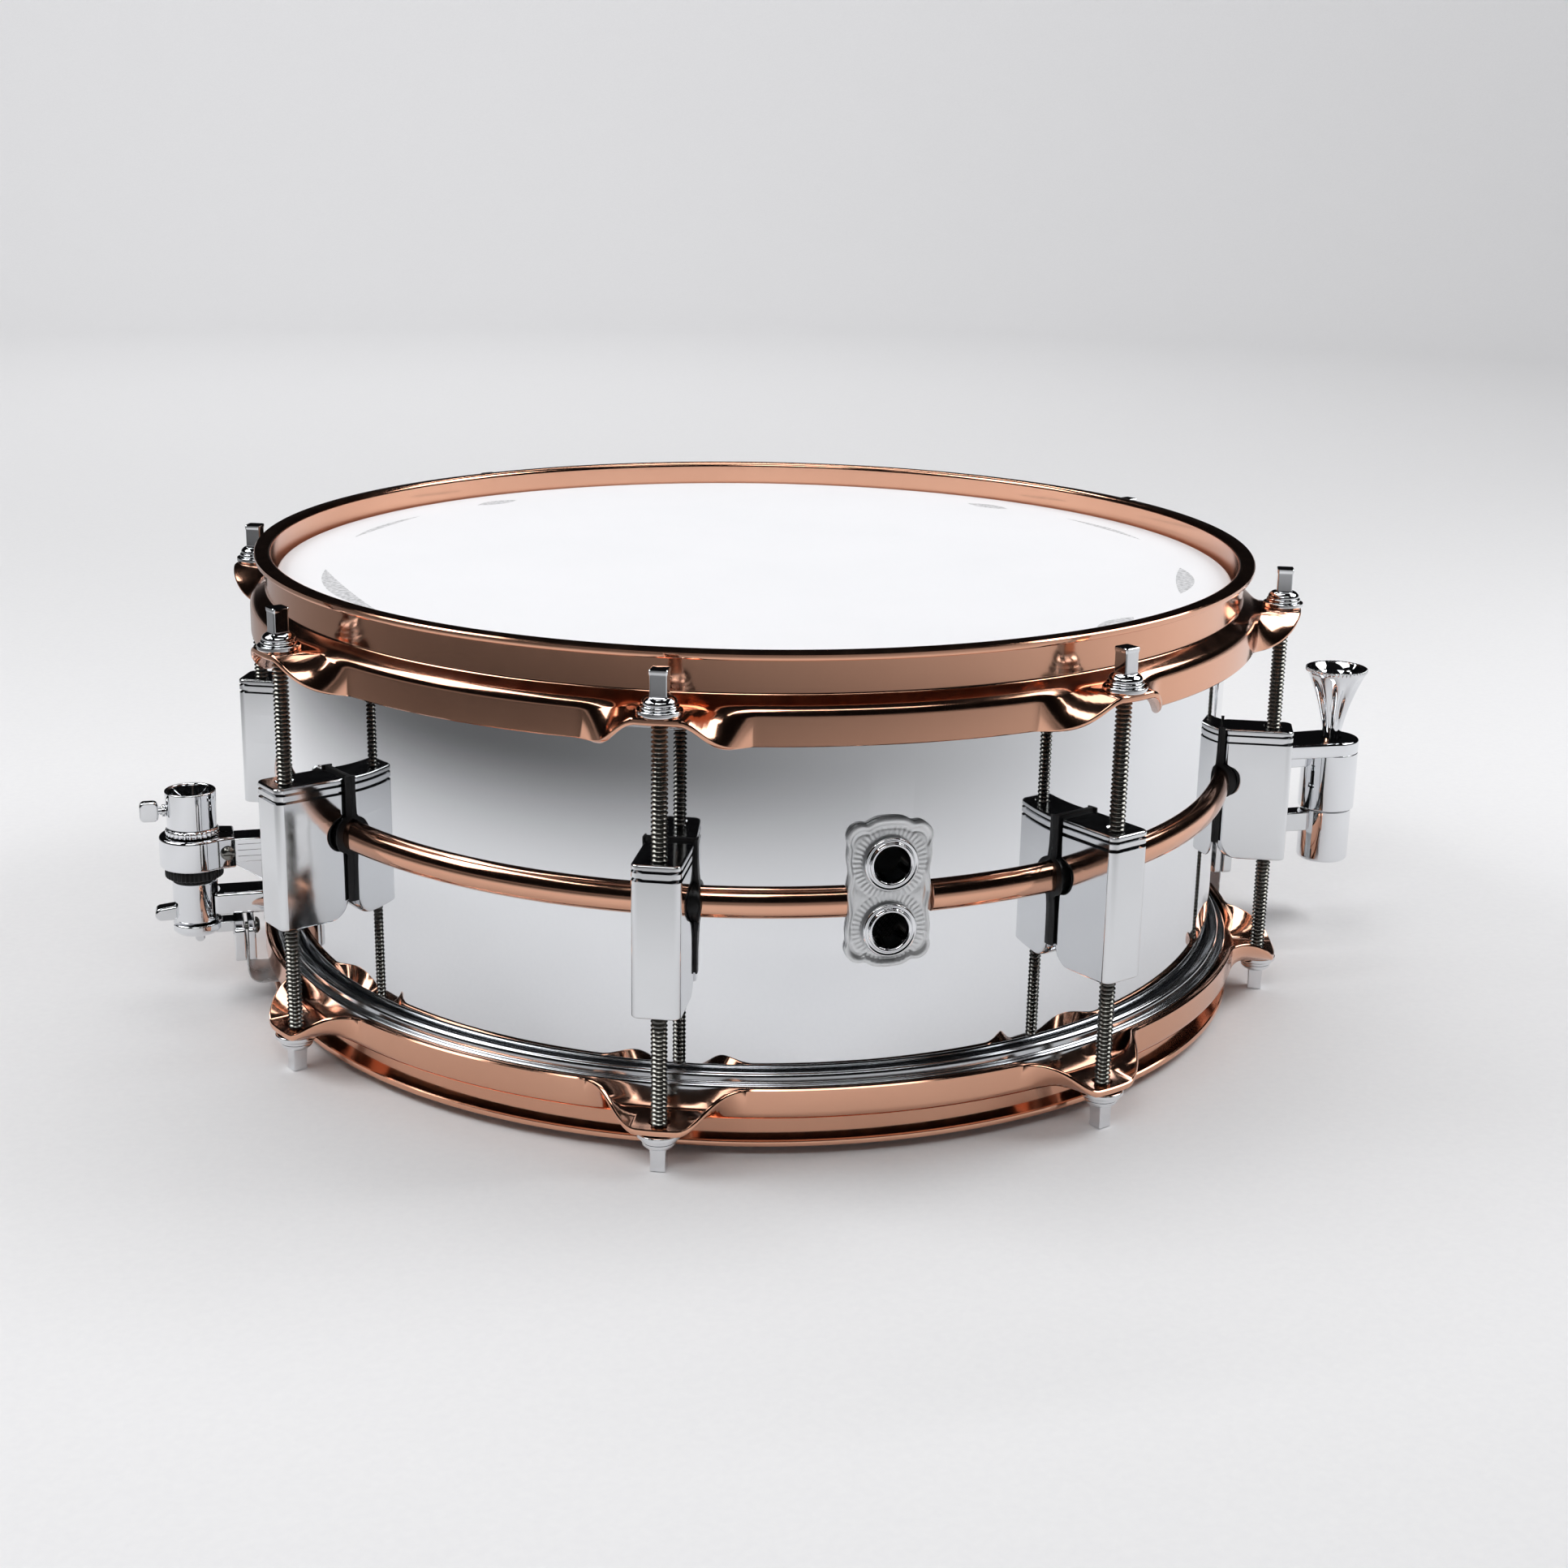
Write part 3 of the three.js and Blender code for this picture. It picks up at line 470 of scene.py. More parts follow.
def prism(outline: Array, low: float, high: float, round_off: float = 0.4,
          steps: int = 4) -> Skin:
    """A flat outline raised from low to high with its two rims rounded.

    The rims follow a quarter circle: inset = r (1 - sin a) at a height of r (1 - cos a).

    Args:
        outline: (n, 2), in either sense.
        low: lower face.
        high: upper face.
        round_off: radius of the rims.
        steps: points along each rim.

    Returns:
        The closed skin with flat end faces.
    """
    area = (outline[:, 0] * np.roll(outline[:, 1], -1) - outline[:, 1] * np.roll(outline[:, 0], -1))
    if area.sum() < 0:
        outline = outline[::-1]
    a = np.linspace(0.0, math.pi / 2, steps)
    inset = round_off * (1 - np.sin(a))
    rise = round_off * (1 - np.cos(a))
    levels = np.concatenate([low + rise, high - rise[::-1]])
    plan = offset(outline, np.concatenate([inset, inset[::-1]]))
    height = np.broadcast_to(levels[:, None, None], (*plan.shape[:2], 1))
    return grid(np.concatenate([plan, height], -1), False, True, caps=True)


def side_prism(outline: Array, low: float, high: float, round_off: float = 0.4) -> Skin:
    """A prism whose outline lies in X and Z and whose thickness runs along Y."""
    return prism(outline, low, high, round_off).swapped((0, 2, 1))


def face_prism(outline: Array, low: float, high: float, round_off: float = 0.4) -> Skin:
    """A prism whose outline lies in Y and Z and whose thickness runs along X."""
    return prism(outline, low, high, round_off).swapped((2, 0, 1))


def box_prism(x: tuple[float, float], y: tuple[float, float], z: tuple[float, float],
              corner: float = 0.8, round_off: float = 0.4) -> Skin:
    """A block with rounded upright edges and rims; the rims stay tighter than the edges."""
    outline = rectangle(x[0], x[1], y[0], y[1], corner, 4)
    return prism(outline, z[0], z[1], min(round_off, 0.7 * corner))


def pin(radius: float, x0: float, x1: float, y: float, z: float, sides: int = 32,
        dome: float = 0.3) -> Skin:
    """A round pin along X with its ends rounded by `dome`."""
    profile = soften(np.array([[0, x0], [radius, x0], [radius, x1], [0, x1]], float),
                     np.array([0.0, dome, dome, 0.0]), 4)
    return lathe(profile, sides).swapped((2, 0, 1)).shifted(0.0, y, z)


# ------------------------------------------------------------------ pieces in the scene
def box_mid(node: str) -> Vector:
    """The middle of a CAD node's box, in millimetres."""
    low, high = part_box(node)
    return (low + high) / 2 / MM


BEAD_LEVEL = box_mid("bead_ring").z


def welded(skin: Skin) -> tuple[Array, list[list[int]]]:
    """Merges points that coincide and drops the faces that this closes up.

    Args:
        skin: the surface in millimetres.

    Returns:
        The kept points and the faces: a quad with one edge gone is a triangle.
    """
    key = np.round(skin.points * 5000.0).astype(np.int64)
    _, first, label = np.unique(key, axis=0, return_index=True, return_inverse=True)
    label = label.reshape(-1)
    quads = label[skin.quads]
    kept = quads != np.roll(quads, -1, 1)
    sides = kept.sum(1)
    faces = quads[sides == 4].tolist()
    faces += quads[sides == 3][kept[sides == 3]].reshape(-1, 3).tolist()
    for ring in skin.rings:
        loop = label[ring]
        faces.append(loop[loop != np.roll(loop, -1)].tolist())
    return skin.points[first], [f for f in faces if len(set(f)) > 2]


def mesh_of(name: str, skin: Skin) -> bpy.types.Mesh:
    """Puts a skin into a mesh, in the frame's metres."""
    points, faces = welded(skin)
    mesh = bpy.data.meshes.new(name)
    mesh.from_pydata((points + [0.0, 0.0, BEAD_LEVEL]) * MM, [], faces)
    mesh.validate()
    mesh.update()
    return mesh


def carved(mesh: bpy.types.Mesh, cutter: Skin) -> bpy.types.Mesh:
    """The mesh with a closed skin cut out of it.

    Args:
        mesh: the closed mesh to cut.
        cutter: what is taken away; its skins don't touch each other.

    Returns:
        A new mesh.
    """
    work = bpy.data.objects.new("work", mesh)
    tool = bpy.data.objects.new("tool", mesh_of("tool", joined(cutter)))
    for item in (work, tool):
        bpy.context.scene.collection.objects.link(item)
    step = work.modifiers.new("cut", "BOOLEAN")
    step.operation, step.solver, step.object = "DIFFERENCE", "EXACT", tool
    graph = bpy.context.evaluated_depsgraph_get()
    made = bpy.data.meshes.new_from_object(work.evaluated_get(graph))
    for item in (work, tool):
        bpy.data.objects.remove(item)
    if not made.polygons:
        raise ValueError(f"nothing is left of {mesh.name} after the cut")
    return made


@dataclass
class Fitted:
    """Where a sub-assembly stands: its body and its azimuth."""

    body: str = "drum"
    azimuth: float = 90.0

    def place(self, name: str, skin: Skin, finish: Finish, slot: str, nodes: Sequence[str] = (),
              body: str | None = None, cuts: Sequence[Skin] = (),
              even: bool = True) -> bpy.types.Object:
        """Makes one piece, dresses it and puts it on its body.

        Args:
            name: of the object.
            skin: in the sub-assembly's own frame, whose +X points out from the drum's axis.
            finish: its material.
            slot: the record's material slot; not used.
            nodes: CAD nodes that it stands for.
            body: the body it rides on, where that isn't the sub-assembly's own.
            cuts: what is carved out of it, one after the other, in the same frame.
            even: whether flat faces keep flat shading up to their rounded rims.

        Returns:
            The object.
        """
        spin = self.azimuth - 90.0
        mesh = mesh_of(name, joined(skin).turned(spin))
        for cutter in cuts:
            mesh = carved(mesh, cutter.turned(spin))
        mesh.name = name
        mesh.polygons.foreach_set("use_smooth", np.ones(len(mesh.polygons), bool))
        mesh.set_sharp_from_angle(angle=SHARP)
        mesh.materials.clear()
        mesh.materials.append(finish.material())
        made = bpy.data.objects.new(name, mesh)
        bpy.context.scene.collection.objects.link(made)
        if even:
            normals = made.modifiers.new("even_normals", "WEIGHTED_NORMAL")
            normals.keep_sharp = True
        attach(made, body or self.body)
        if nodes:
            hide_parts(*nodes)
        LOG.info("%s: %d faces on %s", name, len(mesh.polygons), body or self.body)
        return made

# ------------------------------------------------------------------ shell and heads
@dataclass
class Shell(Fitted):
    """The metal shell with its rolled bearing edges, snare beds and bead."""

    radius: float = 177.6
    half_height: float = 74.0
    wall: float = 1.2
    edge_inner: float = 170.4
    edge_bend: float = 4.6
    bed_depth: float = 1.6
    bed_half_angle: float = 17.0
    bed_reach: float = 9.0
    bead_inner: float = 177.75
    bead_outer: float = 182.1
    bead_half: float = 5.1
    bead_gap: float = 14.5
    vent_levels: tuple[float, float] = (12.6, -9.6)
    vent_hole: float = 7.0

    def profile(self) -> Array:
        """The wall's section: flange in at 45 degrees, edge bend, wall, and the same below."""
        mid = self.radius - self.wall / 2
        fall = mid - self.edge_inner

        def line(corner: float) -> Array:
            """The middle line for a corner at that height."""
            points = [(self.edge_inner, corner - fall), (mid, corner), (mid, -corner),
                      (self.edge_inner, fall - corner)]
            return soften(np.array(points), self.edge_bend, 9, closed=False)

        crown = sheet(line(self.half_height), self.wall)[:, 1].max()
        return sheet(line(2 * self.half_height - crown), self.wall)

    def pressed(self, p: Array) -> Array:
        """Lifts the lower edge over the snare beds.

        The lift is depth * (0.5 + 0.5 cos(pi a / half angle)) * share, where a is the angle
        from the X axis and share grows from 0 to 1 over `bed_reach` down to the edge.
        """
        across = np.abs(p[:, 0]) / np.maximum(np.hypot(p[:, 0], p[:, 1]), 1e-9)
        away = np.degrees(np.arccos(np.minimum(1.0, across)))
        share = np.clip((-p[:, 2] - self.half_height + self.bed_reach) / self.bed_reach, 0, 1)
        press = 0.5 + 0.5 * np.cos(np.pi * np.minimum(away / self.bed_half_angle, 1.0))
        return p + np.stack([0 * share, 0 * share, self.bed_depth * press * share], 1)

    def vents(self, radius: float, low: float, high: float) -> Skin:
        """Two pins along Y through the front of the shell."""
        pins = [pin(radius, low, high, 0.0, z).turned(-90.0) for z in self.vent_levels]
        return joined(*pins)

    def build(self) -> None:
        """Makes the shell and its bead."""
        wall = lathe(self.profile(), 360).moved(self.pressed)
        self.place("shell_wall", wall, CHROME, "chrome_plate", ["shell"],
                   cuts=[self.vents(self.vent_hole, 166.0, 186.0)], even=False)
        a = np.linspace(-math.pi / 2, math.pi / 2, 17)
        swell = self.bead_outer - self.bead_inner
        bead = np.stack([self.bead_inner + swell * np.cos(a) ** 0.8, self.bead_half * np.sin(a)], 1)
        open_angle = math.degrees(self.bead_gap / self.bead_outer)
        ring = lathe(bead, 360, start=open_angle - 90.0, sweep=360.0 - 2 * open_angle)
        self.place("bead_band", ring, COPPER, "copper_plate", ["bead_ring"], even=False)


@dataclass(frozen=True)
class PrintedFinish(Finish):
    """A coated film with pale grey crescents printed near its edge."""

    # Azimuth in degrees, radius, half length and half width of each mark in millimetres.
    marks: tuple[tuple[float, float, float, float], ...] = (
        (-81.0, 160.5, 37.0, 3.4), (-126.0, 161.5, 26.0, 1.5), (66.5, 161.0, 24.0, 3.4),
        (104.0, 163.5, 26.0, 1.5), (-151.0, 161.5, 10.5, 3.6), (127.6, 161.0, 10.5, 3.6),
        (37.0, 158.0, 12.0, 4.2))
    ink: str = "b9babd"

    def _tint(self, tree: bpy.types.NodeTree, shader: bpy.types.Node,
              place: bpy.types.NodeSocket) -> None:
        """Mixes the ink in where width * (1 - (along / half length)^2) exceeds |r - radius|."""
        flat = add_node(tree, "ShaderNodeVectorMath", {"operation": "MULTIPLY"}, {
            0: place, 1: (1000.0, 1000.0, 0.0)}).outputs[0]
        reach = add_node(tree, "ShaderNodeVectorMath", {"operation": "LENGTH"}, {
            0: flat}).outputs["Value"]

        def maths(operation: str, *values: object) -> bpy.types.NodeSocket:
            """One Math node's result."""
            return add_node(tree, "ShaderNodeMath", {"operation": operation},
                            dict(enumerate(values))).outputs[0]

        total = None
        for azimuth, radius, length, width in self.marks:
            s, c = math.sin(math.radians(azimuth)), math.cos(math.radians(azimuth))
            out = add_node(tree, "ShaderNodeVectorMath", {"operation": "DOT_PRODUCT"}, {
                0: flat, 1: (s, -c, 0.0)}).outputs["Value"]
            along = add_node(tree, "ShaderNodeVectorMath", {"operation": "DOT_PRODUCT"}, {
                0: flat, 1: (c / length, s / length, 0.0)}).outputs["Value"]
            bow = maths("SUBTRACT", 1.0, maths("MULTIPLY", along, along))
            apart = maths("ABSOLUTE", maths("SUBTRACT", reach, radius))
            inside = maths("GREATER_THAN", maths("MULTIPLY", bow, width), apart)
            mark = maths("MULTIPLY", inside, maths("GREATER_THAN", out, 0.0))
            total = mark if total is None else maths("MAXIMUM", total, mark)
        # Print screen: dots 1.6 mm apart, as coarse as they need to be to show.
        screen = add_node(tree, "ShaderNodeTexNoise", {}, {
            "Vector": place, "Scale": 1000.0 / 1.6, "Detail": 2.0}).outputs["Fac"]
        dots = add_node(tree, "ShaderNodeMapRange", {}, {
            "Value": screen, "From Min": 0.35, "From Max": 0.6, "To Min": 0.25, "To Max": 1.0})
        cloud = add_node(tree, "ShaderNodeTexNoise", {}, {
            "Vector": place, "Scale": 1000.0 / 60.0, "Detail": 3.0}).outputs["Fac"]
        base = add_node(tree, "ShaderNodeMix", {"data_type": "RGBA"}, {
            0: cloud, 6: linear(self.colour), 7: linear(self.shade)}).outputs[2]
        inked = add_node(tree, "ShaderNodeMix", {"data_type": "RGBA"}, {
            0: maths("MULTIPLY", total, dots.outputs["Result"]), 6: base, 7: linear(self.ink)})
        tree.links.new(inked.outputs[2], shader.inputs["Base Color"])


BATTER_FILM = PrintedFinish(**{**COATED.__dict__, "name": "coated_film_with_print"})


@dataclass
class Head(Fitted):
    """One drum head: film, collar and the aluminium hoop that grips it."""

    name: str = "batter"
    side: int = 1
    finish: Finish = COATED
    slot: str = "coated_film"
    edge: float = 74.3
    film: float = 0.4
    bearing: float = 177.9
    collar_end: float = 59.0
    hoop_inner: float = 178.62
    hoop_outer: float = 184.7
    hoop_low: float = 57.0
    hoop_high: float = 65.7

    def film_profile(self) -> Array:
        """Flat film, a tight turn over the bearing edge and the collar, 0.4 mm thick."""
        e, f, b = self.edge, self.film, self.bearing
        points = np.array([(0, e + f), (b - 12, e + f), (b + f, e + f - 0.05),
                           (b + f, self.collar_end), (b, self.collar_end), (b, e - 0.05),
                           (b - 12, e), (0, e)])
        return soften(points, np.array([0, 0, 1.5, 0.1, 0.1, 1.2, 0, 0]), 6)

    def hoop_profile(self) -> Array:
        """A rolled section with two ribs on the face that looks at the middle of the shell."""
        i, o, low, high = self.hoop_inner, self.hoop_outer, self.hoop_low, self.hoop_high
        points = np.array([(i, high), (i, low), (i + 3.0, low), (i + 3.4, low + 3.0),
                           (o, low + 2.6), (o, high)])
        return soften(points, np.array([0.3, 1.0, 2.3, 0.5, 2.3, 0.5]), 9)

    def build(self) -> None:
        """Makes the film and its hoop."""
        flip = np.array([1.0, float(self.side)])
        self.place(f"{self.name}_film", lathe(self.film_profile() * flip), self.finish, self.slot,
                   [f"{self.name}_head"])
        self.place(f"{self.name}_head_hoop", lathe(self.hoop_profile() * flip, 320), ALUMINIUM,
                   "aluminium_hoop", [f"{self.name}_flesh_hoop"], even=False)


# ------------------------------------------------------------------ pressed hoops
@dataclass
class PressedHoop(Fitted):
    """A triple-flanged hoop: lip, collar wall, ledge, and an apron that folds out into ears."""

    name: str = "batter"
    side: int = 1
    sheet_thickness: float = 2.3
    wall_radius: float = 181.05
    apron_radius: float = 187.0
    lip_radius: float = 185.5
    lip: float = 81.9
    crown: float = 82.3
    ledge: float = 68.7
    corner: float = 65.1
    apron: float = 10.6
    ear_reach: float = 16.45
    ear_flat: float = 1.9
    ear_bend: float = 8.8
    ear_hole: float = 3.5
    gate: tuple[float, float, float] | None = None

    def sections(self, away: Array) -> Array:
        """The closed section at each angle from the nearest ear.

        The fold is 1 - smoothstep(away, flat, bend). The apron's angle goes from -90 degrees
        to level with the fold, and its length from `apron` to `ear_reach` with
        fold * (1 - (away / bend)^2).
        """
        share = np.clip((away - self.ear_flat) / (self.ear_bend - self.ear_flat), 0, 1)
        fold = 1 - share ** 2 * (3 - 2 * share)
        angle = -math.pi / 2 * (1 - fold)
        round_off = np.maximum(0, 1 - (away / self.ear_bend) ** 2)
        length = self.apron + (self.ear_reach - self.apron) * fold * round_off
        fixed = np.array([(self.lip_radius, self.lip), (self.wall_radius, self.crown),
                          (self.wall_radius, self.ledge), (self.apron_radius, self.corner)])
        line = np.broadcast_to(fixed, (len(away), 4, 2))
        edge = fixed[3] + np.stack([length * np.cos(angle), length * np.sin(angle)], 1)
        line = np.concatenate([line, edge[:, None]], 1)
        line = soften(line, np.array([0, 0.8, 1.3, 1.9, 0]), 6, closed=False)
        return sheet(line, self.sheet_thickness)

    def build(self) -> None:
        """Makes the hoop with its ears, rod holes and, below, its snare gates."""
        close = np.linspace(0.0, self.ear_bend + 0.7, 26)
        half = np.concatenate([close, np.linspace(close[-1], LUG_STEP / 2, 10)[1:]])
        away = np.concatenate([half[:-1], half[:0:-1]])
        along = np.concatenate([half[:-1], LUG_STEP - half[:0:-1]])
        azimuth = (FIRST_LUG + LUG_STEP * np.arange(LUG_COUNT)[:, None] + along).reshape(-1)
        section = self.sections(np.tile(away, LUG_COUNT))
        t = np.radians(azimuth)[:, None]
        r, z = section[..., 0], self.side * section[..., 1]
        points = np.stack([r * np.sin(t), -r * np.cos(t), z], -1)
        low, high = sorted((50.0 * self.side, 90.0 * self.side))
        hole = lathe(np.array([(0, low), (self.ear_hole, low), (self.ear_hole, high), (0, high)]),
                     32, x=ROD_CIRCLE)
        cut = [hole.turned(FIRST_LUG - 90.0 + LUG_STEP * i) for i in range(LUG_COUNT)]
        if self.gate:
            half_width, near, far = self.gate
            window = face_prism(rectangle(-half_width, half_width, -far, -near, 1.6), 176.0, 184.6)
            cut += [window, window.turned(180.0)]
        self.place(f"{self.name}_pressed_hoop", grid(points, True, True), COPPER, "copper_plate",
                   [f"{self.name}_hoop"], cuts=[joined(*cut)], even=False)


# ------------------------------------------------------------------ lugs and tension rods
@dataclass
class Lug(Fitted):
    """A box lug, bored for the two rods that run into it, and its gasket."""

    number: int = 1
    inner: float = 178.45
    outer: float = 204.5
    half_width: float = 8.0
    top: float = 20.0
    bottom: float = -30.5
    corner: float = 2.6
    bore: float = 3.3
    notch: float = 5.7
    heel: float = 7.0
    groove: float = 1.4
    # Heights of the two grooves under the cap.
    grooves: tuple[tuple[float, float], ...] = ((14.5, 15.8), (17.3, 18.4))

    def inset(self, z: Array) -> Array:
        """How far in the outer faces stand: the two grooves and the rounded rims."""
        deep = np.zeros_like(z)
        for low, high in self.grooves:
            deep = np.where((z > low) & (z < high), self.groove, deep)
        rim = 0.7
        above = np.clip(z - self.top + rim, 0, rim)
        below = np.clip(self.bottom + rim - z, 0, rim)
        curve = 2 * rim - np.sqrt(rim ** 2 - above ** 2) - np.sqrt(rim ** 2 - below ** 2)
        return deep + curve

    def levels(self) -> Array:
        """Heights of the rows, crowded at the rims, the grooves, the notch and the heel."""
        turn = np.linspace(0.0, math.pi / 2, 6)
        rims = [self.bottom + 0.7 * (1 - np.cos(turn)), self.top - 0.7 * (1 - np.cos(turn))]
        sides = [np.array([a, a + 0.02, b - 0.02, b]) for a, b in self.grooves]
        arch = self.notch * np.sin(np.linspace(-math.pi / 2, math.pi / 2, 19))
        heel = self.bottom + self.heel * (1 - np.sin(np.linspace(0.0, math.pi / 2, 12)))
        return np.unique(np.round(np.concatenate([*rims, *sides, arch, heel]), 4))

    def casting(self) -> Skin:
        """The lug, one rounded rectangle a level, closed through its bore.

        Row z is the rectangle from x_in(z) to outer - inset(z) and y = +-(half - inset(z)).
        x_in is inner + sqrt(notch^2 - z^2) over the bead and inner + heel -
        sqrt(heel^2 - (bottom + heel - z)^2) in the heel. The last rows run in over the cap,
        down the bore and out over the foot.
        """
        z = self.levels()
        inset = self.inset(z)
        x_in = self.inner + np.sqrt(np.maximum(0, self.notch ** 2 - z ** 2))
        low = np.clip(self.bottom + self.heel - z, 0, self.heel)
        x_in = x_in + self.heel - np.sqrt(self.heel ** 2 - low ** 2)
        x0, x1 = x_in[:, None], (self.outer - inset)[:, None]
        y1 = (self.half_width - inset)[:, None]
        turn = np.linspace(0.0, math.pi / 2, 6)
        angle = np.concatenate([turn + math.pi / 2 * k for k in (-1, 0, 1, 2)])
        right = np.concatenate([np.ones(12, bool), np.zeros(12, bool)])
        upper = np.concatenate([np.zeros(6, bool), np.ones(12, bool), np.zeros(6, bool)])
        r = self.corner
        x = np.where(right, x1 - r, x0 + r) + r * np.cos(angle)
        y = np.where(upper, y1 - r, r - y1) + r * np.sin(angle)
        wall = np.stack([x, y, np.broadcast_to(z[:, None], x.shape)], -1)
        towards = np.arctan2(wall[-1, :, 1], wall[-1, :, 0] - ROD_CIRCLE)

        def ring(radius: float, height: float) -> Array:
            """A row round the bore."""
            return np.stack([ROD_CIRCLE + radius * np.cos(towards), radius * np.sin(towards),
                             np.full_like(towards, height)], -1)

        mouth = self.bore + 0.5
        bore = np.stack([ring(mouth, self.top), ring(self.bore, self.top - 0.5),
                         ring(self.bore, self.bottom + 0.5), ring(mouth, self.bottom)])
        return grid(np.concatenate([wall, bore]), True, True)

    def gasket(self) -> Skin:
        """Rubber under the lug: it follows the wall and the bead and lips up beside the lug.

        Across, v runs over +-w(z), w = 8.9 + 1.6 exp(-(z / 6.5)^2); along, the section is the
        wall moved out 0.1 and 0.75, with bead * sqrt(1 - (z / reach)^2) added over the bead.
        """
        t = np.linspace(0.0, 1.0, 64)
        z = self.top + 0.9 - (self.top - self.bottom - 5.5) * t
        bead = np.sqrt(np.maximum(0, 1 - (z / 5.4) ** 2))
        bulge = np.sqrt(np.maximum(0, 1 - (z / 6.3) ** 2))
        half = 8.9 + 1.6 * np.exp(-(z / 6.5) ** 2)
        across = np.array([-1.0, -0.985, -0.93, -0.91, -0.5, 0.5, 0.91, 0.93, 0.985, 1.0])
        lip = np.array([0.2, 1.2, 1.2, 0.0, 0.0, 0.0, 0.0, 1.2, 1.2, 0.2])[:, None]
        near = 177.66 + 4.5 * bead + 0 * lip
        far = 178.4 + 5.0 * bulge + lip
        radius = np.concatenate([near, far[:, ::-1]], 1)
        height = np.concatenate([z, z[::-1]])
        angle = across[:, None] * np.concatenate([half, half[::-1]]) / 178.0
        points = np.stack([radius * np.cos(angle), radius * np.sin(angle),
                           np.broadcast_to(height, radius.shape)], -1)
        return grid(points, False, True, caps=True)

    def build(self) -> None:
        """Makes the casting and its gasket."""
        self.azimuth = FIRST_LUG + LUG_STEP * (self.number - 1)
        self.place(f"lug_{self.number}_casting", self.casting(), CAST_CHROME, "chrome_plate",
                   [f"lug_{self.number}"])
        self.place(f"lug_{self.number}_gasket", self.gasket(), RUBBER, "black_ring", even=False)


@dataclass
class KeyRod(Fitted):
    """A tension rod: rolled thread, two washers, a flange and the square for the drum key."""

    name: str = "batter_rod_1"
    side: int = 1
    seat: float = 66.0
    head: float = 80.6
    tip: float = 6.0
    show_from: float = 17.0
    radius: float = 2.75
    # Rings 1.5 mm apart stand for a thread of about 1.06 mm pitch, too fine to show.
    pitch: float = 1.5
    depth: float = 0.8
    key: float = 6.3
    taper: float = 0.0

    def thread(self) -> Skin:
        """The shaft, turned: r = radius - depth * |2 frac(z / pitch) - 1| where it shows."""
        turns = int((self.seat - self.show_from) / self.pitch)
        z = self.seat - 0.3 - self.pitch * np.arange(4 * turns, -1, -1) / 4
        wave = np.array([1.0, 0.35, 0.0, 0.35])[np.arange(z.size) % 4]
        core = self.radius - self.depth
        r = np.concatenate([[0.0, core, core], self.radius - self.depth * wave, [core, 0.0]])
        z = np.concatenate([[self.tip, self.tip, z[0] - 0.3], z, [self.seat + 1.0] * 2])
        return lathe(np.stack([r, z], 1), 24)

    def fittings(self) -> Skin:
        """Two washers and the flange as turned rings, and the key as a rounded square."""
        s = self.seat + 0.3
        inner = self.radius - 0.3
        washer = soften(np.array([(inner, s), (7.3, s), (7.3, s + 1.7), (inner, s + 1.7)]), 0.45, 4)
        upper = soften(np.array([(inner, s + 1.75), (6.1, s + 1.75), (6.1, s + 3.1),
                                 (inner, s + 3.1)]), 0.5, 4)
        flange = soften(np.array([(0, s + 3.15), (5.6, s + 3.15), (5.6, s + 4.3), (4.2, s + 5.6),
                                  (0, s + 5.9)]), np.array([0, 0.4, 0.8, 0.8, 0]), 5)
        rings = [lathe(p, 48) for p in (washer, upper, flange)]
        half = self.key / 2
        outline = rectangle(-half, half, -half, half, 0.9, 5)
        low = s + 5.2
        t = np.array([0.0, 0.12, 0.78, 0.86, 0.965, 0.99, 1.0])
        inset = np.array([0.05, 0.38, 0.38, 0.12, 0.12, 0.3, 0.7]) + self.taper * t
        plan = offset(outline, inset)
        z = np.broadcast_to((low + (self.head - low) * t)[:, None, None], (*plan.shape[:2], 1))
        square = grid(np.concatenate([plan, z], -1), False, True, caps=True)
        return joined(*rings, square)

    def build(self) -> None:
        """Makes the thread and the fittings on top of it, the lower rods upside down."""
        number = int(self.name.rsplit("_", 1)[1])
        self.azimuth = FIRST_LUG + LUG_STEP * (number - 1)
        self.body = self.name
        flip = np.array([1.0, float(self.side), float(self.side)])
        parts = (("thread", self.thread(), STEEL, "threaded_steel", [self.name]),
                 ("key", self.fittings(), CHROME, "chrome_plate", []))
        for label, skin, finish, slot, nodes in parts:
            upright = skin.moved(lambda p: p * flip + [ROD_CIRCLE, 0.0, 0.0])
            self.place(f"{self.name}_{label}", upright, finish, slot, nodes)


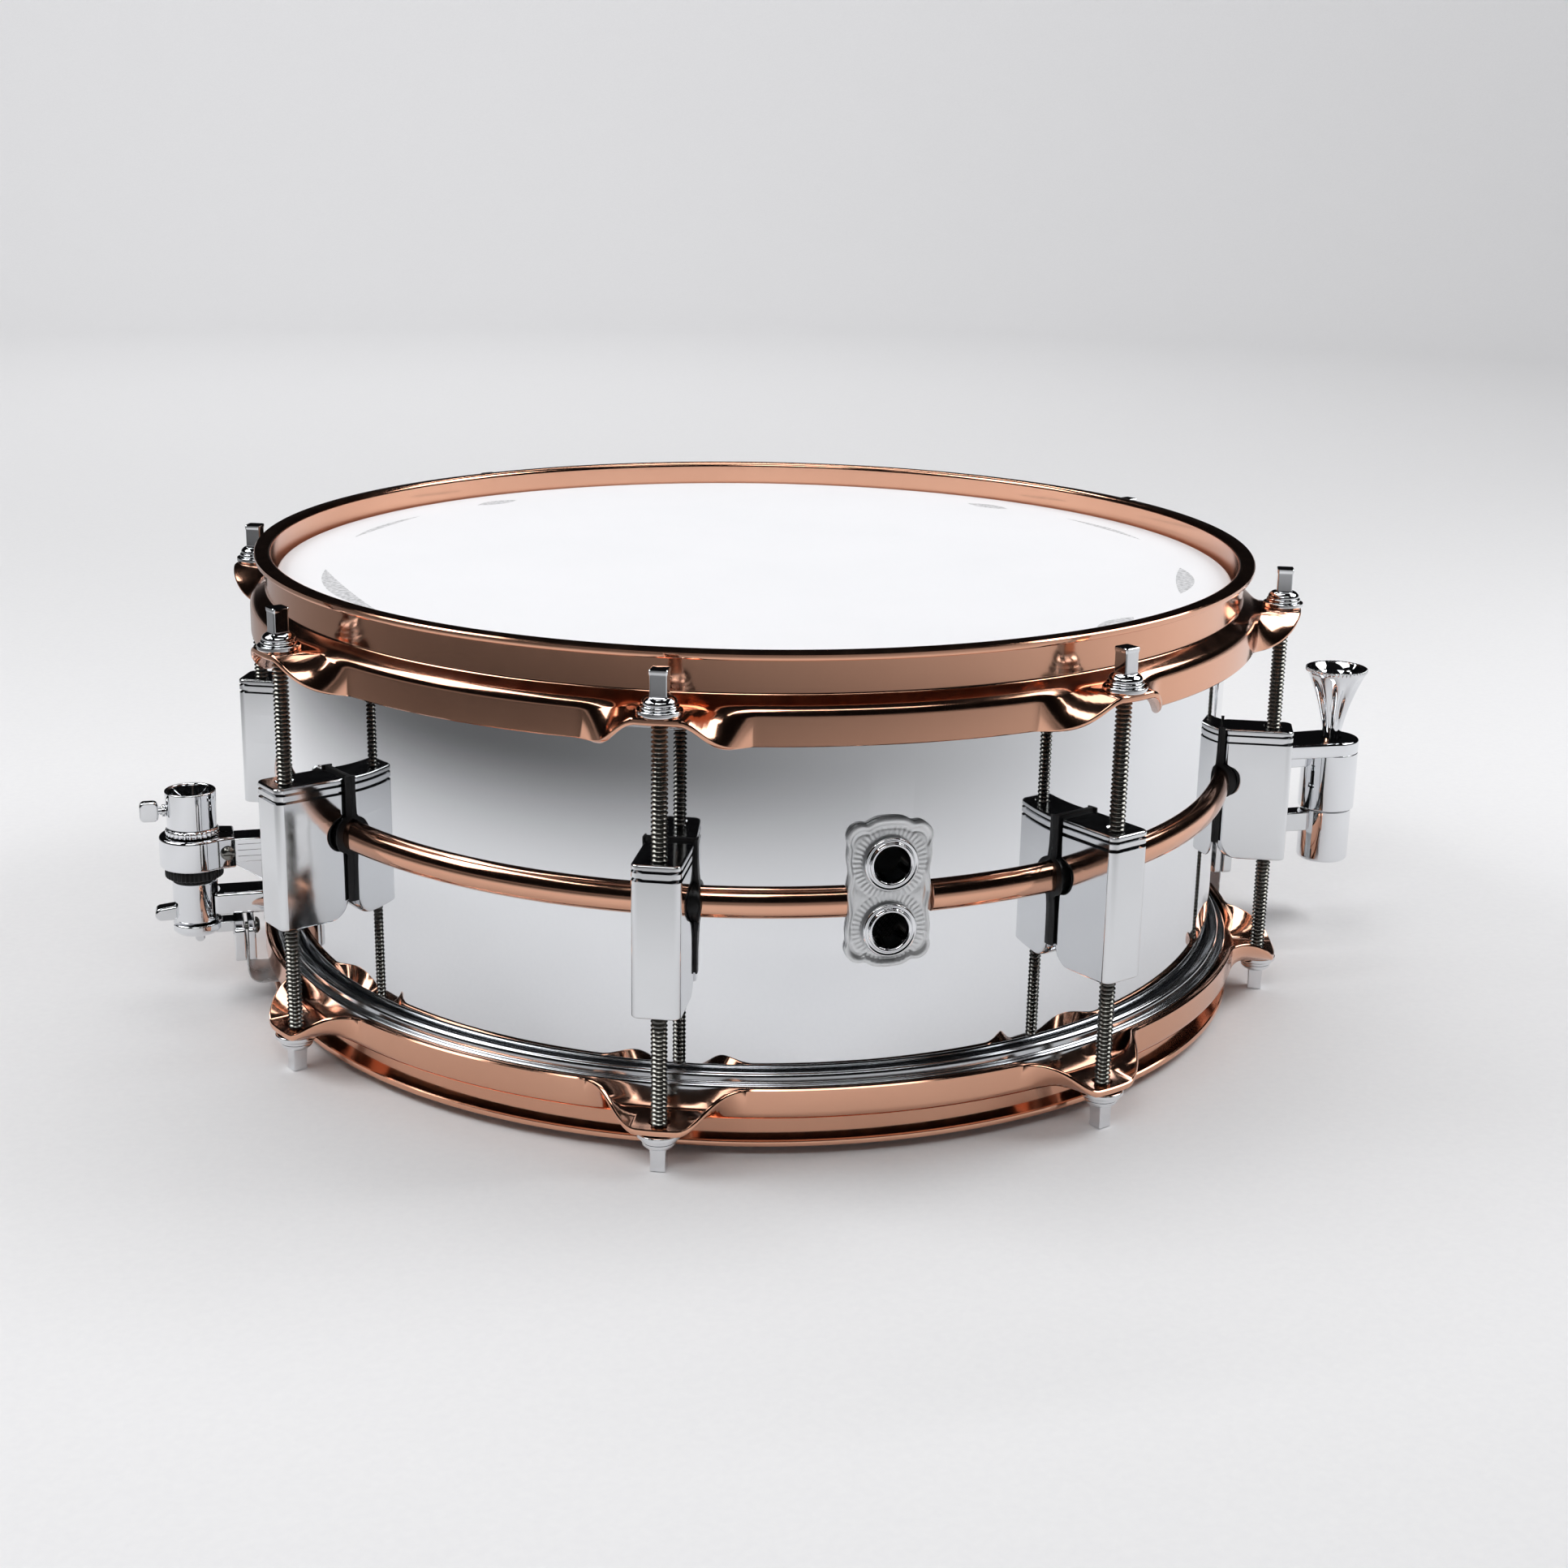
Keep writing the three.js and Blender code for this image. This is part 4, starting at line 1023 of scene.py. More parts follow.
# ------------------------------------------------------------------ badge and vents
@dataclass
class Badge(Fitted):
    """The stamped badge plate with its two vent eyelets."""

    azimuth: float = 0.0
    half_width: float = 14.25
    half_height: float = 25.0
    centre: float = 2.6
    inner: float = 177.95
    field_radius: float = 179.45
    vent_levels: tuple[float, float] = (12.6, -9.6)
    vent_hole: float = 7.0
    vent_names: tuple[str, str] = ("upper", "lower")

    def outline(self) -> Array:
        """A waisted plate with four round lobes and a bowed top and bottom edge."""
        w, h = self.half_width, self.half_height
        lobe = 4.6
        side = np.array([(w - 0.2, -h + 13.0), (w - 1.1, -6.5), (w, 0.0), (w - 1.1, 6.5),
                         (w - 0.2, h - 13.0)])
        corner = arc(w - lobe, h - 6.4, lobe, -0.5, math.pi * 0.62, 12)
        bow = np.array([(5.2, h - 0.5), (2.6, h - 0.08), (0.0, h)])
        quarter = np.concatenate([side[2:], corner, bow])
        upper = np.concatenate([quarter, quarter[::-1][1:] * [-1, 1]])
        whole = np.concatenate([upper[:-1], upper[::-1][:-1] * [1, -1]])
        return soften(whole, 1.2, 4) + [0.0, self.centre]

    def relief(self, y: Array, z: Array, share: Array) -> Array:
        """Height of the stamping over its field.

        A rolled rim where share > 0.9, a groove at 0.86, and ribs round each vent: 0.15
        (0.5 + 0.5 cos 44 a) between 9.3 and 12.8 from its middle, faded at both ends, with
        leaves of 0.14 |sin 6 a| further out.
        """
        upper, lower = self.vent_levels
        level = np.where(z > (upper + lower) / 2, upper, lower)
        reach, turn = np.hypot(y, z - level), np.arctan2(z - level, y)
        rim = 0.55 * np.sin(np.pi * np.clip((share - 0.9) / 0.1, 0, 1) * 0.75)
        groove = -0.12 * np.exp(-((share - 0.865) / 0.02) ** 2)
        band = np.clip((reach - 9.3) / 0.5, 0, 1) * np.clip((12.8 - reach) / 0.8, 0, 1)
        ribs = 0.15 * band * (0.5 + 0.5 * np.cos(44 * turn))
        leaf = np.clip((reach - 12.8) / 1.5, 0, 1) * np.clip((0.86 - share) / 0.08, 0, 1)
        return rim + groove + ribs + 0.14 * leaf * np.abs(np.sin(6 * turn))

    def plate(self) -> Skin:
        """Rows from the middle out to the edge, then down the edge and back underneath."""
        edge = self.outline()
        step = np.linalg.norm(np.roll(edge, -1, 0) - edge, axis=1)
        at = np.concatenate([[0], np.cumsum(step)])
        even = np.linspace(0, at[-1], 320, endpoint=False)
        ring = np.concatenate([edge, edge[:1]])
        edge = np.stack([np.interp(even, at, ring[:, 0]), np.interp(even, at, ring[:, 1])], 1)
        share = np.concatenate([np.linspace(0, 0.84, 44), np.linspace(0.85, 1.0, 18)])[:, None]
        middle = np.array([0.0, self.centre])
        flat = middle + share[..., None] * (edge - middle)
        y, z = flat[..., 0], flat[..., 1]
        front = self.field_radius + self.relief(y, z, np.broadcast_to(share, y.shape))
        x = np.sqrt(front ** 2 - y ** 2)
        top = np.stack([x, y, z], -1)
        under = np.stack([np.sqrt(self.inner ** 2 - y ** 2), y, z], -1)
        return grid(np.concatenate([top, under[[-1, 30, 0]]]), False, True)

    def build(self) -> None:
        """Makes the plate and the two eyelets."""
        holes = joined(*[pin(self.vent_hole, 170.0, 186.0, 0.0, z) for z in self.vent_levels])
        self.place("badge_stamping", self.plate(), SATIN, "satin_silver", ["badge_plate"],
                   cuts=[holes], even=False)
        section = np.array([(5.7, 172.0), (6.5, 172.0), (6.5, 180.62), (9.0, 180.62),
                            (9.0, 181.2), (8.5, 181.7), (7.9, 181.3), (7.5, 181.4),
                            (7.0, 182.25), (6.2, 182.0), (5.7, 180.4)])
        for label, level in zip(self.vent_names, self.vent_levels):
            ring = lathe(soften(section, 0.4, 5), 72).swapped((2, 0, 1)).shifted(z=level)
            self.place(f"vent_{label}_eyelet", ring, CHROME, "chrome_plate",
                       [f"vent_eyelet_{label}"], even=False)


# ------------------------------------------------------------------ straps and snare wires
@dataclass
class StrapClamp(Fitted):
    """What grips one end of the snares: a jaw, a plate, its screw and the strap itself."""

    drop: float = 195.5
    run: float = -76.05
    plate_end: float = 165.0
    thickness: float = 0.5
    half_width: float = 12.0
    jaw_half_width: float = 13.0

    def slab(self, low: float, high: float, near: float, far: float) -> Skin:
        """A rounded block across the strap, from `near` to `far` of its middle line."""
        w = self.jaw_half_width
        return face_prism(rectangle(-w, w, low, high, 1.6), self.drop + near, self.drop + far, 0.5)

    def jaw(self, low: float, high: float, screw: float) -> Skin:
        """The block outside the strap, with a countersunk screw's ring round its hole."""
        ring = lathe(soften(np.array([(1.6, 0), (3.2, 0), (2.9, 0.5), (1.6, 0.5)], float), 0.12, 3),
                     40).swapped((2, 0, 1)).shifted(self.drop + 4.3, 0.0, screw)
        return joined(self.slab(low, high, 0.55, 4.4), ring)

    def plate(self, low: float, high: float) -> Skin:
        """The plate inside the strap."""
        return self.slab(low, high, -3.2, -0.55)

    def screw(self, level: float) -> Skin:
        """A domed head on a short shank."""
        head = lathe(soften(np.array([(0, -5.2), (1.9, -5.2), (3.1, -4.3), (3.1, -3.5), (0, -3.5)]),
                            np.array([0, 0.6, 0.4, 0.2, 0]), 5), 40)
        shank = lathe(np.array([(0, -3.6), (1.5, -3.6), (1.5, 0.25), (0, 0.25)]), 24)
        return joined(head, shank).swapped((2, 0, 1)).shifted(self.drop, 0.0, level)

    def strap(self, top: float) -> Skin:
        """A film strip: level out through the gate, round a 5 mm bend and up to its clamp."""
        line = np.array([(self.plate_end - 4.5, self.run), (self.plate_end, self.run),
                         (self.drop, self.run), (self.drop, top)])
        line = soften(line, np.array([0, 1.0, 6.0, 0]), 14, closed=False)
        return side_prism(sheet(line, self.thickness), -self.half_width, self.half_width, 0.1)


@dataclass
class SnareWires(Fitted):
    """Twenty coiled strands soldered between two stepped end plates."""

    body: str = "snare_wires"
    count: int = 20
    spacing: float = 2.0
    top: float = -75.1
    half: float = 165.0
    plate_half_width: float = 22.0
    coil: float = 0.47
    gauge: float = 0.2
    # Real turns stand 0.6 apart; they are drawn four times as far apart so that they show.
    turn: float = 2.4

    def strand(self, y: float) -> Skin:
        """A coil along X.

        Its middle line is (x, y + R cos p, z + R sin p) with p = 2 pi x / turn; the wire's
        four sides stand at `gauge` from it along the radial vector and across it.
        """
        x = np.arange(8.0 - self.half, self.half - 8.0, self.turn / 8)
        p = 2 * math.pi * x / self.turn
        zero = np.zeros_like(p)
        radial = np.stack([zero, np.cos(p), np.sin(p)], 1)
        along = np.stack([zero + self.turn / (2 * math.pi), -self.coil * np.sin(p),
                          self.coil * np.cos(p)], 1)
        along /= np.linalg.norm(along, axis=1, keepdims=True)
        across = np.cross(along, radial)
        a = np.linspace(0, 2 * math.pi, 4, endpoint=False)[:, None]
        level = self.top - self.coil - self.gauge - 0.04
        middle = np.stack([x, zero + y, zero + level], 1) + self.coil * radial
        points = middle[:, None] + self.gauge * (np.cos(a) * radial[:, None]
                                                 + np.sin(a) * across[:, None])
        return grid(points, False, True, caps=True)

    def end_plate(self, end: int) -> Skin:
        """One plate with a step down to where the strap lies on it."""
        half, top = self.half, self.top
        step = self.run_level() - 0.25 - 0.3
        side = np.array([(half - 12, top - 2.8), (half, top - 2.8), (half, step),
                         (half - 5.5, step), (half - 5.5, top), (half - 12, top)])
        side = soften(side, np.array([0.5, 0.5, 0.3, 0.3, 0.4, 0.4]), 4)
        w = self.plate_half_width
        plate = side_prism(side, -w, w, 0.4)
        return plate if end > 0 else plate.turned(180.0)

    def run_level(self) -> float:
        """The height of the strap's middle line."""
        return StrapClamp().run

    def build(self) -> None:
        """Makes the strands and the two plates."""
        y = (np.arange(self.count) - (self.count - 1) / 2) * self.spacing
        self.place("snare_strands", joined(*[self.strand(float(v)) for v in y]), WIRE,
                   "snare_wire", ["snare_wires"], even=False)
        self.place("snare_end_plates", joined(self.end_plate(1), self.end_plate(-1)), SATIN,
                   "snare_wire")


# ------------------------------------------------------------------ throw-off
@dataclass
class Strainer(StrapClamp):
    """The throw-off: plate, split collar, slide, adjusting cup, lever, crown and clamp."""

    azimuth: float = -90.0
    axis: float = 213.0
    bolt: float = 200.6
    pivot: tuple[float, float] = (218.0, -49.5)

    def base(self) -> None:
        """The plate on the shell with its screws and web, both arms and the split collar."""
        a = self.axis
        plate = face_prism(rectangle(-15, 15, -54, -10, 4.0), 178.2, 181.2, 0.8)
        screws = [self.dome(2.6, 181.1, 1.1).shifted(y=y, z=z)
                  for y, z in ((-10.5, -15.5), (10.5, -15.5), (-10.5, -48.0), (10.5, -48.0))]
        arm = box_prism((180.5, 199.0), (-5.5, 5.5), (-30.5, -21.5), 0.6, 1.0)
        web = side_prism(np.array([(181.0, -44.0), (199.0, -32.0), (199.0, -29.0), (181.0, -29.0)]),
                         -1.6, 1.6, 0.4)
        lower = box_prism((180.5, 207.0), (-6.5, 6.5), (-50.5, -42.0), 2.2, 1.2)
        turn = math.radians(118.0)
        drop_shape = np.concatenate([arc(a, 0.0, 12.2, -turn, turn, 60),
                                     np.array([(203.5, 8.6), (198.0, 7.4), (198.0, -7.4),
                                               (203.5, -8.6)])])
        collar = prism(drop_shape, -32.0, -20.0, 1.1, 6)
        bore = lathe(np.array([(0.0, -60.0), (7.8, -60.0), (7.8, 0.0), (0.0, 0.0)]), 96, x=a)
        split = box_prism((190.0, a - 4.0), (-0.5, 0.5), (-34.0, -18.0), 0.1, 0.1)
        room = lathe(np.array([(0.0, -60.0), (8.9, -60.0), (8.9, -32.2), (0.0, -32.2)]), 96, x=a)
        lines = [box_prism((183.5, 197.0), (5.2, 6.2), (z, z + 0.5), 0.05, 0.05)
                 for z in (-28.3, -26.0, -23.7)]
        self.place("strainer_split_collar", collar, CHROME, "chrome_plate", [],
                   cuts=[bore, split])
        self.place("strainer_arm", joined(arm), CHROME, "chrome_plate", [], cuts=[joined(*lines)])
        self.place("strainer_lower_arm", lower, CHROME, "chrome_plate", [], cuts=[room])
        self.place("strainer_plate", joined(plate, web, *screws), CHROME, "chrome_plate",
                   ["strainer_base"])

    def dome(self, radius: float, low: float, rise: float) -> Skin:
        """A pan head on the X axis, `rise` proud of `low`."""
        section = np.array([(0.0, low), (radius, low), (radius, low + rise * 0.5),
                            (radius * 0.55, low + rise), (0.0, low + rise)])
        return lathe(soften(section, np.array([0, 0.1, 0.5, 0.8, 0]), 6), 40).swapped((2, 0, 1))

    def collar_bolt(self) -> None:
        """A slotted round head in front, the shank and a nut behind."""
        head = soften(np.array([(0, 7.7), (2.7, 7.7), (2.7, 8.8), (1.8, 10.0), (0, 10.1)]),
                      np.array([0, 0.2, 0.5, 0.8, 0]), 5)
        nut = prism(arc(0, 0, 2.7, 0, 2 * math.pi, 7)[:-1], -10.1, -7.7, 0.3)
        shank = lathe(np.array([(0, -9.0), (1.5, -9.0), (1.5, 9.0), (0, 9.0)]), 24)
        bolt = joined(lathe(head, 40), nut, shank).swapped((0, 2, 1)).shifted(self.bolt, 0, -26.0)
        slot = box_prism((self.bolt - 3.2, self.bolt + 3.2), (9.4, 11.0), (-26.35, -25.65),
                         0.1, 0.1)
        self.place("strainer_collar_screw", bolt, STEEL, "threaded_steel",
                   ["strainer_collar_bolt"], cuts=[slot])

    def slide(self) -> None:
        """The barrel and its neck, slotted for the lever's pin."""
        a, (px, pz) = self.axis, self.pivot
        section = np.array([(0, -53), (8.2, -53), (8.2, -37.4), (7.3, -36.6), (7.3, -19.9),
                            (2.6, -19.9), (2.6, -14.6), (0, -14.6)], float)
        barrel = lathe(soften(section, np.array([0, 0.9, 0.5, 0.3, 0.4, 0.2, 0.5, 0]), 6), 128, x=a)
        slot = box_prism((a + 1, a + 12), (-3.6, 3.6), (-55.0, -45.8), 0.5, 0.5)
        self.place("strainer_barrel", barrel, CHROME, "chrome_plate", ["strainer_slide"],
                   "strainer_slide", cuts=[slot])
        cross = pin(1.25, -5.5, 5.5, 0.0, 0.0).swapped((1, 0, 2)).shifted(px, 0.0, pz)
        self.place("strainer_lever_pin", cross, STEEL, "threaded_steel", [], "strainer_slide")

    def cup(self) -> None:
        """The adjusting cup with its toothed skirt and dished inside, and the thumb screw."""
        a = self.axis
        section = np.array([(3.1, -19.5), (9.7, -19.5), (9.7, -17.8), (8.9, -17.0), (9.3, -3.0),
                            (8.1, -3.0), (6.8, -11.4), (3.1, -11.4)])
        smooth = soften(section, np.array([0.2, 0.3, 0.3, 0.5, 0.5, 0.6, 1.2, 0.2]), 6)
        tooth = np.where((smooth[:, 0] > 9.2) & (smooth[:, 1] < -17.4), 0.55, 0.0)
        self.place("strainer_cup", lathe(smooth, 240, x=a, ribs=(30, tooth)), CHROME,
                   "chrome_plate", ["strainer_adjuster_cup"], "strainer_adjuster")
        stem = pin(1.5, a + 7.4, a + 12.4, 0.0, -10.6)
        collar = pin(2.3, a + 9.2, a + 10.4, 0.0, -10.6)
        wing = side_prism(rectangle(a + 11.6, a + 18.4, -14.4, -6.8, 1.9), -1.9, 1.9, 0.8)
        self.place("strainer_thumb", joined(stem, collar, wing), CAST_CHROME, "chrome_plate",
                   ["strainer_thumb_screw"], "strainer_thumb_screw")

    def ring(self) -> None:
        """The rubber grip ring with forty ribs."""
        section = np.array([(7.8, -36.0), (10.6, -36.0), (10.6, -32.4), (7.8, -32.4)])
        smooth = soften(section, np.array([0.2, 0.7, 0.7, 0.2]), 6)
        depth = np.where(smooth[:, 0] > 9.8, 0.5, 0.0)
        self.place("strainer_grip_ring", lathe(smooth, 320, x=self.axis, ribs=(40, depth)), RUBBER,
                   "black_ring", ["strainer_lock_ring"], "strainer_lock_ring", even=False)

    def lever(self) -> None:
        """A paddle whose eye turns on the pin, narrowing a little towards its rounded end."""
        x, z = self.pivot
        side = np.concatenate([arc(x, z, 2.9, math.pi / 2, math.pi * 1.5, 16),
                               arc(x + 7.5, z - 0.5, 2.5, -math.pi / 2, math.pi / 2, 14)])
        hole = pin(1.6, -5, 5, 0, 0).swapped((1, 0, 2)).shifted(x, 0.0, z)
        self.place("strainer_wing", side_prism(side, -3.2, 3.2, 1.0), CAST_CHROME, "chrome_plate",
                   ["strainer_lever"], "strainer_lever", cuts=[hole])

    def crown(self) -> None:
        """The crown under the barrel, its leg, the spine, the strap's clamp and the strap."""
        a = self.axis
        section = np.array([(0, -58), (7.4, -58), (9.4, -56), (9.4, -53.5), (0, -53.5)], float)
        disc = lathe(soften(section, np.array([0, 0.8, 0.8, 0.6, 0]), 6), 128, x=a)
        gap = box_prism((a + 1.4, a + 12), (-3.9, 3.9), (-60.0, -50.0), 0.5, 0.3)
        self.place("strainer_crown", disc, CHROME, "chrome_plate", [], "strainer_clamp", cuts=[gap])
        leg = side_prism(rectangle(a - 2.6, a + 1.0, -62.0, -56.0, 1.7), -1.8, 1.8, 0.7)
        spine = box_prism((self.drop + 3, a - 6.5), (-4, 4), (-58, -54), 0.6, 0.8)
        self.place("strainer_clamp_jaw", joined(leg, spine, self.jaw(-67, -54, -57.4)), CAST_CHROME,
                   "chrome_plate", ["strainer_strap_clamp"], "strainer_clamp")
        self.place("strainer_clamp_plate", self.plate(-67, -54), CAST_CHROME, "threaded_steel",
                   ["strainer_strap_plate"], "strainer_clamp")
        self.place("strainer_clamp_screw", self.screw(-57.4), STEEL, "threaded_steel",
                   ["strainer_strap_screw"], "strainer_clamp")
        self.place("strainer_film_strap", self.strap(-62.5), STRAP_FILM, "strap_film",
                   ["strainer_strap"], "snare_wires", even=False)

    def build(self) -> None:
        """Makes the whole throw-off."""
        for part in (self.base, self.collar_bolt, self.slide, self.cup, self.ring, self.lever,
                     self.crown):
            part()


# ------------------------------------------------------------------ butt
@dataclass
class Butt(StrapClamp):
    """The butt: plate, arm, two sleeves, the fluted knob and the strap clamp."""

    azimuth: float = 90.0
    axis: float = 247.0

    def bracket(self) -> None:
        """The plate, the arm with its round end, the web and the fixed sleeve."""
        a = self.axis
        plate = face_prism(rectangle(-15, 15, -52, -8, 4.0), 178.2, 181.2, 0.8)
        plan = np.concatenate([np.array([(180.5, 8.0), (180.5, -8.0)]),
                               arc(a, 0.0, 11.4, -math.pi / 2 - 0.05, math.pi / 2 + 0.05, 60)])
        arm = prism(plan, -14.0, -8.0, 1.0, 5)
        web = side_prism(soften(np.array([(181.0, -33.0), (217.0, -20.0), (238.0, -20.0),
                                          (238.0, -13.0), (181.0, -13.0)]), 2.0, 6), -1.8, 1.8, 0.4)
        section = np.array([(8.7, -37.5), (11.4, -37.5), (11.4, -13.5), (4.2, -13.5),
                            (4.2, -18.0), (8.7, -18.0)])
        sleeve = lathe(soften(section, np.array([0.3, 0.5, 0.5, 0.2, 0.2, 0.3]), 5), 160, x=a)
        hole = lathe(np.array([(0.0, -20.0), (4.2, -20.0), (4.2, 0.0), (0.0, 0.0)]), 64, x=a)
        self.place("butt_arm", arm, CHROME, "chrome_plate", [], cuts=[hole])
        self.place("butt_sleeve", joined(plate, web, sleeve), CHROME, "chrome_plate",
                   ["butt_bracket"])

    def knob(self) -> None:
        """A flared knob with ten flutes and a milled rim, over the tension screw."""
        a = self.axis
        t = np.linspace(0.0, 1.0, 22)[:, None]
        flare = ((1 - t) ** 2 * [3.7, -6.5] + 2 * t * (1 - t) * [5.6, 7.0] + t ** 2 * [12.3, 20.2])
        depth = 1.5 * np.sin(np.pi * np.clip(t[:, 0] * 1.12 - 0.12, 0, 1)) ** 0.8
        head = np.array([(12.3, 21.4), (11.2, 21.5), (10.4, 21.1), (8.5, 18.4), (0, 17.6)])
        foot = np.array([(0, -33), (2.8, -33), (2.8, -13), (3.7, -12)], float)
        section = np.concatenate([foot, flare, head])
        depths = np.concatenate([np.zeros(4), depth, np.zeros(5)])
        cone = lathe(section, 240, x=a, ribs=(10, depths))
        milled = soften(np.array([(10.6, 20.0), (12.6, 20.0), (12.6, 21.5), (10.6, 21.5)]), 0.35, 4)
        teeth = np.where(milled[:, 0] > 12.2, 0.5, 0.0)
        rim = lathe(milled, 384, x=a, ribs=(48, teeth))
        self.place("butt_fluted_knob", joined(cone, rim), CHROME, "chrome_plate", ["butt_knob"],
                   "butt_knob", even=False)

    def slide(self) -> None:
        """The lower sleeve with its neck, the spine, the jaw and a small hook under it."""
        a = self.axis
        section = np.array([(3.3, -58), (0, -58), (0, -60), (9.6, -60), (10.4, -59.2), (10.4, -38),
                            (8.1, -38), (8.1, -24), (3.3, -24)], float)
        radii = np.array([0.2, 0, 0, 0.3, 0.6, 0.4, 0.2, 0.3, 0.2])
        sleeve = lathe(soften(section, radii, 5), 160, x=a)
        spine = box_prism((self.drop + 3, a - 9.6), (-4, 4), (-47, -39), 0.8, 1.0)
        hook = side_prism(rectangle(a + 5.4, a + 8.6, -63, -59.4, 1.5), -1, 1, 0.4)
        self.place("butt_lower_sleeve", joined(sleeve, hook), CHROME, "chrome_plate", [],
                   "butt_slide")
        self.place("butt_clamp_jaw", joined(spine, self.jaw(-60, -39, -43)), CAST_CHROME,
                   "chrome_plate", ["butt_slide"], "butt_slide")
        self.place("butt_clamp_plate", self.plate(-60, -39), CAST_CHROME, "threaded_steel",
                   ["butt_strap_plate"], "butt_slide")
        self.place("butt_clamp_screw", self.screw(-43), STEEL, "threaded_steel",
                   ["butt_strap_screw"], "butt_slide")
        self.place("butt_film_strap", self.strap(-48), STRAP_FILM, "strap_film", ["butt_strap"],
                   "snare_wires", even=False)

    def build(self) -> None:
        """Makes the whole butt."""
        for part in (self.bracket, self.knob, self.slide):
            part()


# ------------------------------------------------------------------ studio
@dataclass
class Studio:
    """Pale floor, soft lights, a quiet surround and the camera."""

    azimuth: float = -14.19
    elevation: float = 15.81
    distance: float = 933.56
    focal_share: float = 2961.3 / 1932.0
    roll: float = 0.97
    yaw: float = 0.74
    pitch: float = -0.80
    # What follows is in metres, as the lamps are.
    level_reach: float = 2.4
    cove_bend: float = 0.8
    wall_top: float = 1.3
    card_radius: float = 2.39
    card_lift: float = 0.002
    card_fade: tuple[float, float] = (0.36, 0.68)
    card_hides: float = 0.88
    card_aim: float = 195.0
    wash_ring: float = 1.5
    wash_aim: float = 2.8
    wash_height: float = 1.7

    def camera(self) -> None:
        """Stands the camera off the bead's centre and turns it by yaw, pitch and roll."""
        a, e = math.radians(self.azimuth), math.radians(self.elevation)
        back = Vector((math.sin(a) * math.cos(e), -math.cos(a) * math.cos(e), math.sin(e)))
        right = Vector((math.cos(a), math.sin(a), 0.0))
        forward = -back
        up = right.cross(forward)
        yaw, pitch, roll = (math.radians(v) for v in (self.yaw, self.pitch, self.roll))
        ahead = (forward * math.cos(yaw) * math.cos(pitch) + right * math.sin(yaw)
                 + up * math.sin(pitch)).normalized()
        side = ahead.cross(Vector((0, 0, 1))).normalized()
        over = side.cross(ahead)
        across = side * math.cos(roll) + over * math.sin(roll)
        over = over * math.cos(roll) - side * math.sin(roll)
        data = bpy.data.cameras.new("camera")
        data.sensor_width = 36.0
        data.lens = 36.0 * self.focal_share
        data.clip_start, data.clip_end = 0.01, 50.0
        made = bpy.data.objects.new("camera", data)
        spot = (back * self.distance + Vector((0, 0, BEAD_LEVEL))) * MM
        turn = Matrix((across, over, -ahead)).transposed().to_4x4()
        made.matrix_world = Matrix.Translation(spot) @ turn
        bpy.context.scene.collection.objects.link(made)
        bpy.context.scene.camera = made

    def paper(self, name: str, radius: Array, height: Array) -> bpy.types.Object:
        """Paper turned round the drum: (radius cos a, radius sin a, floor + height)."""
        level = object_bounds()[0][2]
        a = np.linspace(0.0, 2 * math.pi, 96, endpoint=False)[:, None]
        dish = np.stack([radius * np.cos(a), radius * np.sin(a),
                         np.broadcast_to(height + level, (96, len(height)))], -1)
        skin = grid(dish, True, False)
        data = bpy.data.meshes.new(name)
        data.from_pydata(skin.points, [], skin.quads.tolist())
        data.polygons.foreach_set("use_smooth", np.ones(len(data.polygons), bool))
        data.materials.append(self.paper_finish())
        made = bpy.data.objects.new(name, data)
        bpy.context.scene.collection.objects.link(made)
        made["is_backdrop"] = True
        return made

    def floor(self) -> None:
        """Matt, nearly white paper: level, then a cove that mirrors don't see.

        The cove has radius reach + bend sin t and height bend (1 - cos t), then rises straight.
        """
        reach, bend = self.level_reach, self.cove_bend
        self.paper("floor", np.array([0.0, reach / 2, reach]), np.zeros(3))
        t = np.linspace(0.0, math.pi / 2, 24)
        cove = self.paper("backdrop", np.append(reach + bend * np.sin(t), reach + bend),
                          np.append(bend * (1 - np.cos(t)), self.wall_top))
        cove.visible_glossy = False

    def paper_finish(self) -> bpy.types.Material:
        """Uncoated studio paper, nearly white, with a fine fibre in its tone."""
        known = bpy.data.materials.get("seamless_paper")
        if known:
            return known
        paper = bpy.data.materials.new("seamless_paper")
        paper.use_nodes = True
        shader = paper.node_tree.nodes["Principled BSDF"]
        place = add_node(paper.node_tree, "ShaderNodeTexCoord").outputs["Object"]
        fibre = add_node(paper.node_tree, "ShaderNodeTexNoise", {}, {
            "Vector": place, "Scale": 400.0, "Detail": 3.0})
        mix = add_node(paper.node_tree, "ShaderNodeMix", {"data_type": "RGBA"}, {
            0: fibre.outputs["Fac"], 6: linear("ececed"), 7: linear("e6e6e8")})
        paper.node_tree.links.new(mix.outputs[2], shader.inputs["Base Color"])
        shader.inputs["Roughness"].default_value = 0.9
        shader.inputs["Specular IOR Level"].default_value = 0.1
        return paper

    def lamp(self, name: str, spot: tuple[float, float, float], aim: tuple[float, float, float],
             size: tuple[float, float], power: float, tone: str = "ffffff") -> None:
        """A rectangular soft box at `spot` that faces `aim`, all in metres."""
        data = bpy.data.lights.new(name, "AREA")
        data.shape, data.size, data.size_y = "RECTANGLE", size[0], size[1]
        data.energy, data.color = power, linear(tone)[:3]
        made = bpy.data.objects.new(name, data)
        made.visible_camera = False
        way = Vector(aim) - Vector(spot)
        turn = way.to_track_quat("-Z", "Y").to_matrix().to_4x4()
        made.matrix_world = Matrix.Translation(spot) @ turn
        bpy.context.scene.collection.objects.link(made)

